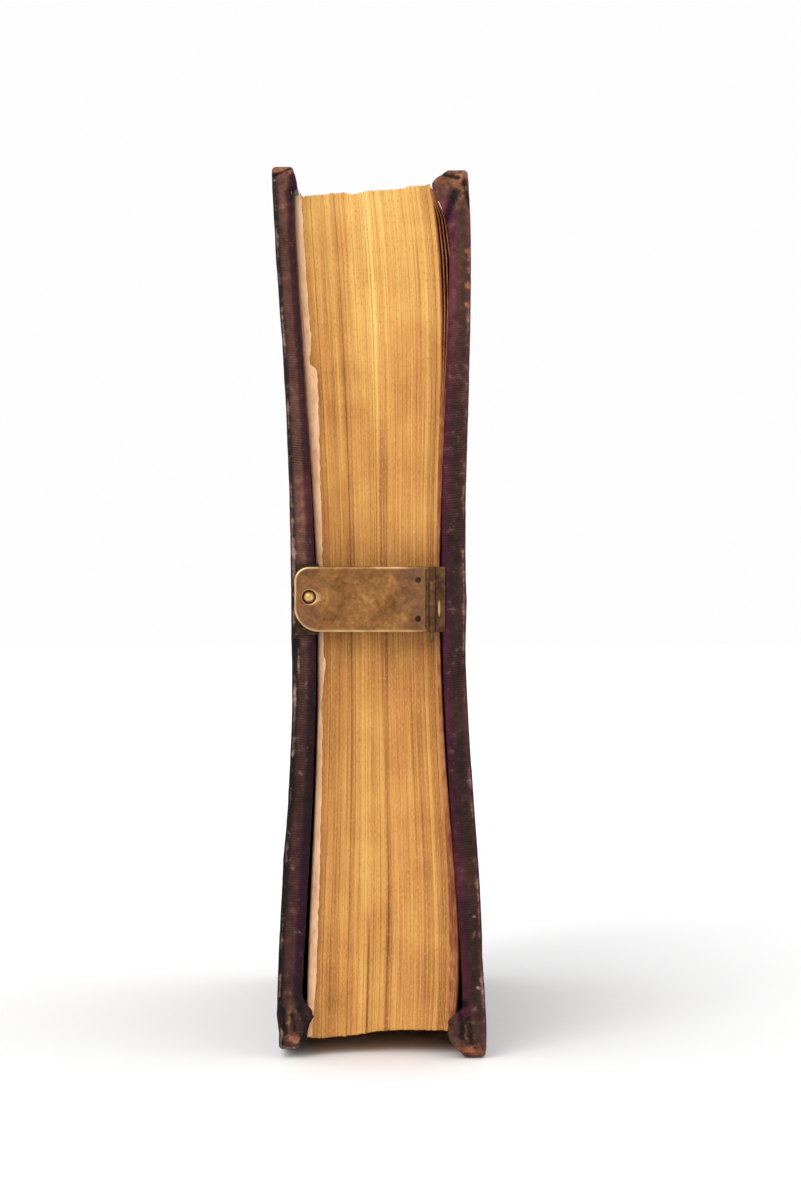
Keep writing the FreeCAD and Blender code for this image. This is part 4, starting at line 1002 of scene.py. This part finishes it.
class BOOK_OT_covers(bpy.types.Operator):
    """Builds the leather of both covers, with the tooled edges and worn corners"""
    bl_idname = "book.covers"
    bl_label = "Covers"

    def execute(self, context):
        make_cover("front")
        make_cover("back")
        return {"FINISHED"}


class BOOK_OT_spine(bpy.types.Operator):
    """Finishes the spine, its lining and the leather joints"""
    bl_idname = "book.spine"
    bl_label = "Spine"

    def execute(self, context):
        paint("spine_leather", calf("grained_spine_leather", 0.56))
        # thick unsized paper under the spine: dull and browned
        paint("spine_lining", dull_stuff("spine_lining_paper", 0.5, (1, 1, 0.3), (
            (0.35, "#7d6040"), (0.6, "#b39468")), 0.9, 0.04))
        joint_strip("front")
        joint_strip("back")
        make_endbands()
        return {"FINISHED"}


class BOOK_OT_boards(bpy.types.Operator):
    """Finishes the pasteboard and the pasted-down endpapers"""
    bl_idname = "book.boards"
    bl_label = "Boards"

    def execute(self, context):
        # laminated grey-brown paper board: dull, fibrous, in thin layers
        core = dull_stuff("pasteboard_core", 0.3, (1, 0.1, 0.1), (
            (0.35, "#5c4430"), (0.6, "#86694a")), 0.9, 0.06)
        # rag paper stuck down on the board: cream, foxed in soft clouds
        lining = dull_stuff("pasted_endpaper", 0.6, (1, 1, 0.4), (
            (0.3, "#9c7850"), (0.45, "#c4a274"), (0.6, "#d6b88c")), 0.85, 0.03)
        for side in ("front", "back"):
            paint(side + "_board", core)
            paint(side + "_pastedown", lining)
        return {"FINISHED"}


class BOOK_OT_clasp(bpy.types.Operator):
    """Finishes the brass clasp, its catch, its hinge and their nails"""
    bl_idname = "book.clasp"
    bl_label = "Clasp"

    def execute(self, context):
        handled = old_brass("handled_sheet_brass", (
            (0.32, "#5a3a1f"), (0.43, "#7d5430"), (0.54, colours().brass), (0.68, "#b88a52")))
        brown = old_brass("browned_hinge_brass", (
            (0.3, "#33211a"), (0.45, "#5d4230"), (0.6, "#8a6240")), rough=0.45)
        # dark olive brass, with a painted highlight on the edge of its notch by the hinge
        olive = old_brass("olive_anchor_brass", (
            (0.3, "#2a1c15"), (0.45, "#4e3828"), (0.62, "#755536")), rough=0.5,
            edge="#c39a64", painted_highlight=((10.3, -52.0, 75.9), (0.18, 3.0, 1.3)))
        tarnished = old_brass("tarnished_brass", (
            (0.3, "#140f0c"), (0.48, "#362920"), (0.66, "#5d4836")), rough=0.5)
        bright = old_brass("polished_stud_brass", (
            (0.3, "#8a6436"), (0.5, "#c79a5c"), (0.65, "#f0cf94")), rough=0.25)
        # drawn steel wire with a thin skin of rust: grey, dull and brown in patches
        steel = dull_stuff("rusted_steel_wire", 0.7, (1, 1, 1), (
            (0.4, "#6b6460"), (0.55, "#5a3b28")), 0.5, 0.02, metal=0.6)
        make_hasp()
        paint("hasp_leaf", brown)
        paint("anchor_plate", olive)
        for node in ("catch_plate", "catch_nail_upper", "catch_nail_lower",
                     "anchor_nail_upper", "anchor_nail_lower", "hasp_rivet_upper", "hasp_rivet_lower"):
            paint(node, tarnished)
        paint("catch_stud", bright)
        paint("hinge_pin", steel)
        return {"FINISHED"}


class BOOK_OT_stage(bpy.types.Operator):
    """Sets the pale floor, the light and the camera"""
    bl_idname = "book.stage"
    bl_label = "Stage"

    def execute(self, context):
        make_stage()
        return {"FINISHED"}


class BOOK_PT_panel(bpy.types.Panel):
    bl_label = "Clasped leather book"
    bl_idname = "BOOK_PT_panel"
    bl_space_type = "VIEW_3D"
    bl_region_type = "UI"
    bl_category = "Book"

    def draw(self, context):
        for settings in (context.scene.book_sizes, context.scene.book_colours):
            for name in settings.bl_rna.properties.keys():
                if name not in ("rna_type", "name"):
                    self.layout.prop(settings, name)
        for step in STEPS:
            self.layout.operator(step.bl_idname)


STEPS = (BOOK_OT_stage, BOOK_OT_pages, BOOK_OT_endpapers, BOOK_OT_boards, BOOK_OT_covers,
         BOOK_OT_spine, BOOK_OT_clasp)
CLASSES = (BookSizes, BookColours) + STEPS + (BOOK_PT_panel,)


def register():
    for kind in CLASSES:
        bpy.utils.register_class(kind)
    bpy.types.Scene.book_sizes = bpy.props.PointerProperty(type=BookSizes)
    bpy.types.Scene.book_colours = bpy.props.PointerProperty(type=BookColours)


def unregister():
    del bpy.types.Scene.book_colours
    del bpy.types.Scene.book_sizes
    for kind in reversed(CLASSES):
        bpy.utils.unregister_class(kind)


def main():
    register()
    bpy.ops.book.stage()
    bpy.ops.book.pages()
    bpy.ops.book.endpapers()
    bpy.ops.book.boards()
    bpy.ops.book.covers()
    bpy.ops.book.spine()
    bpy.ops.book.clasp()


if __name__ == "__main__":
    main()
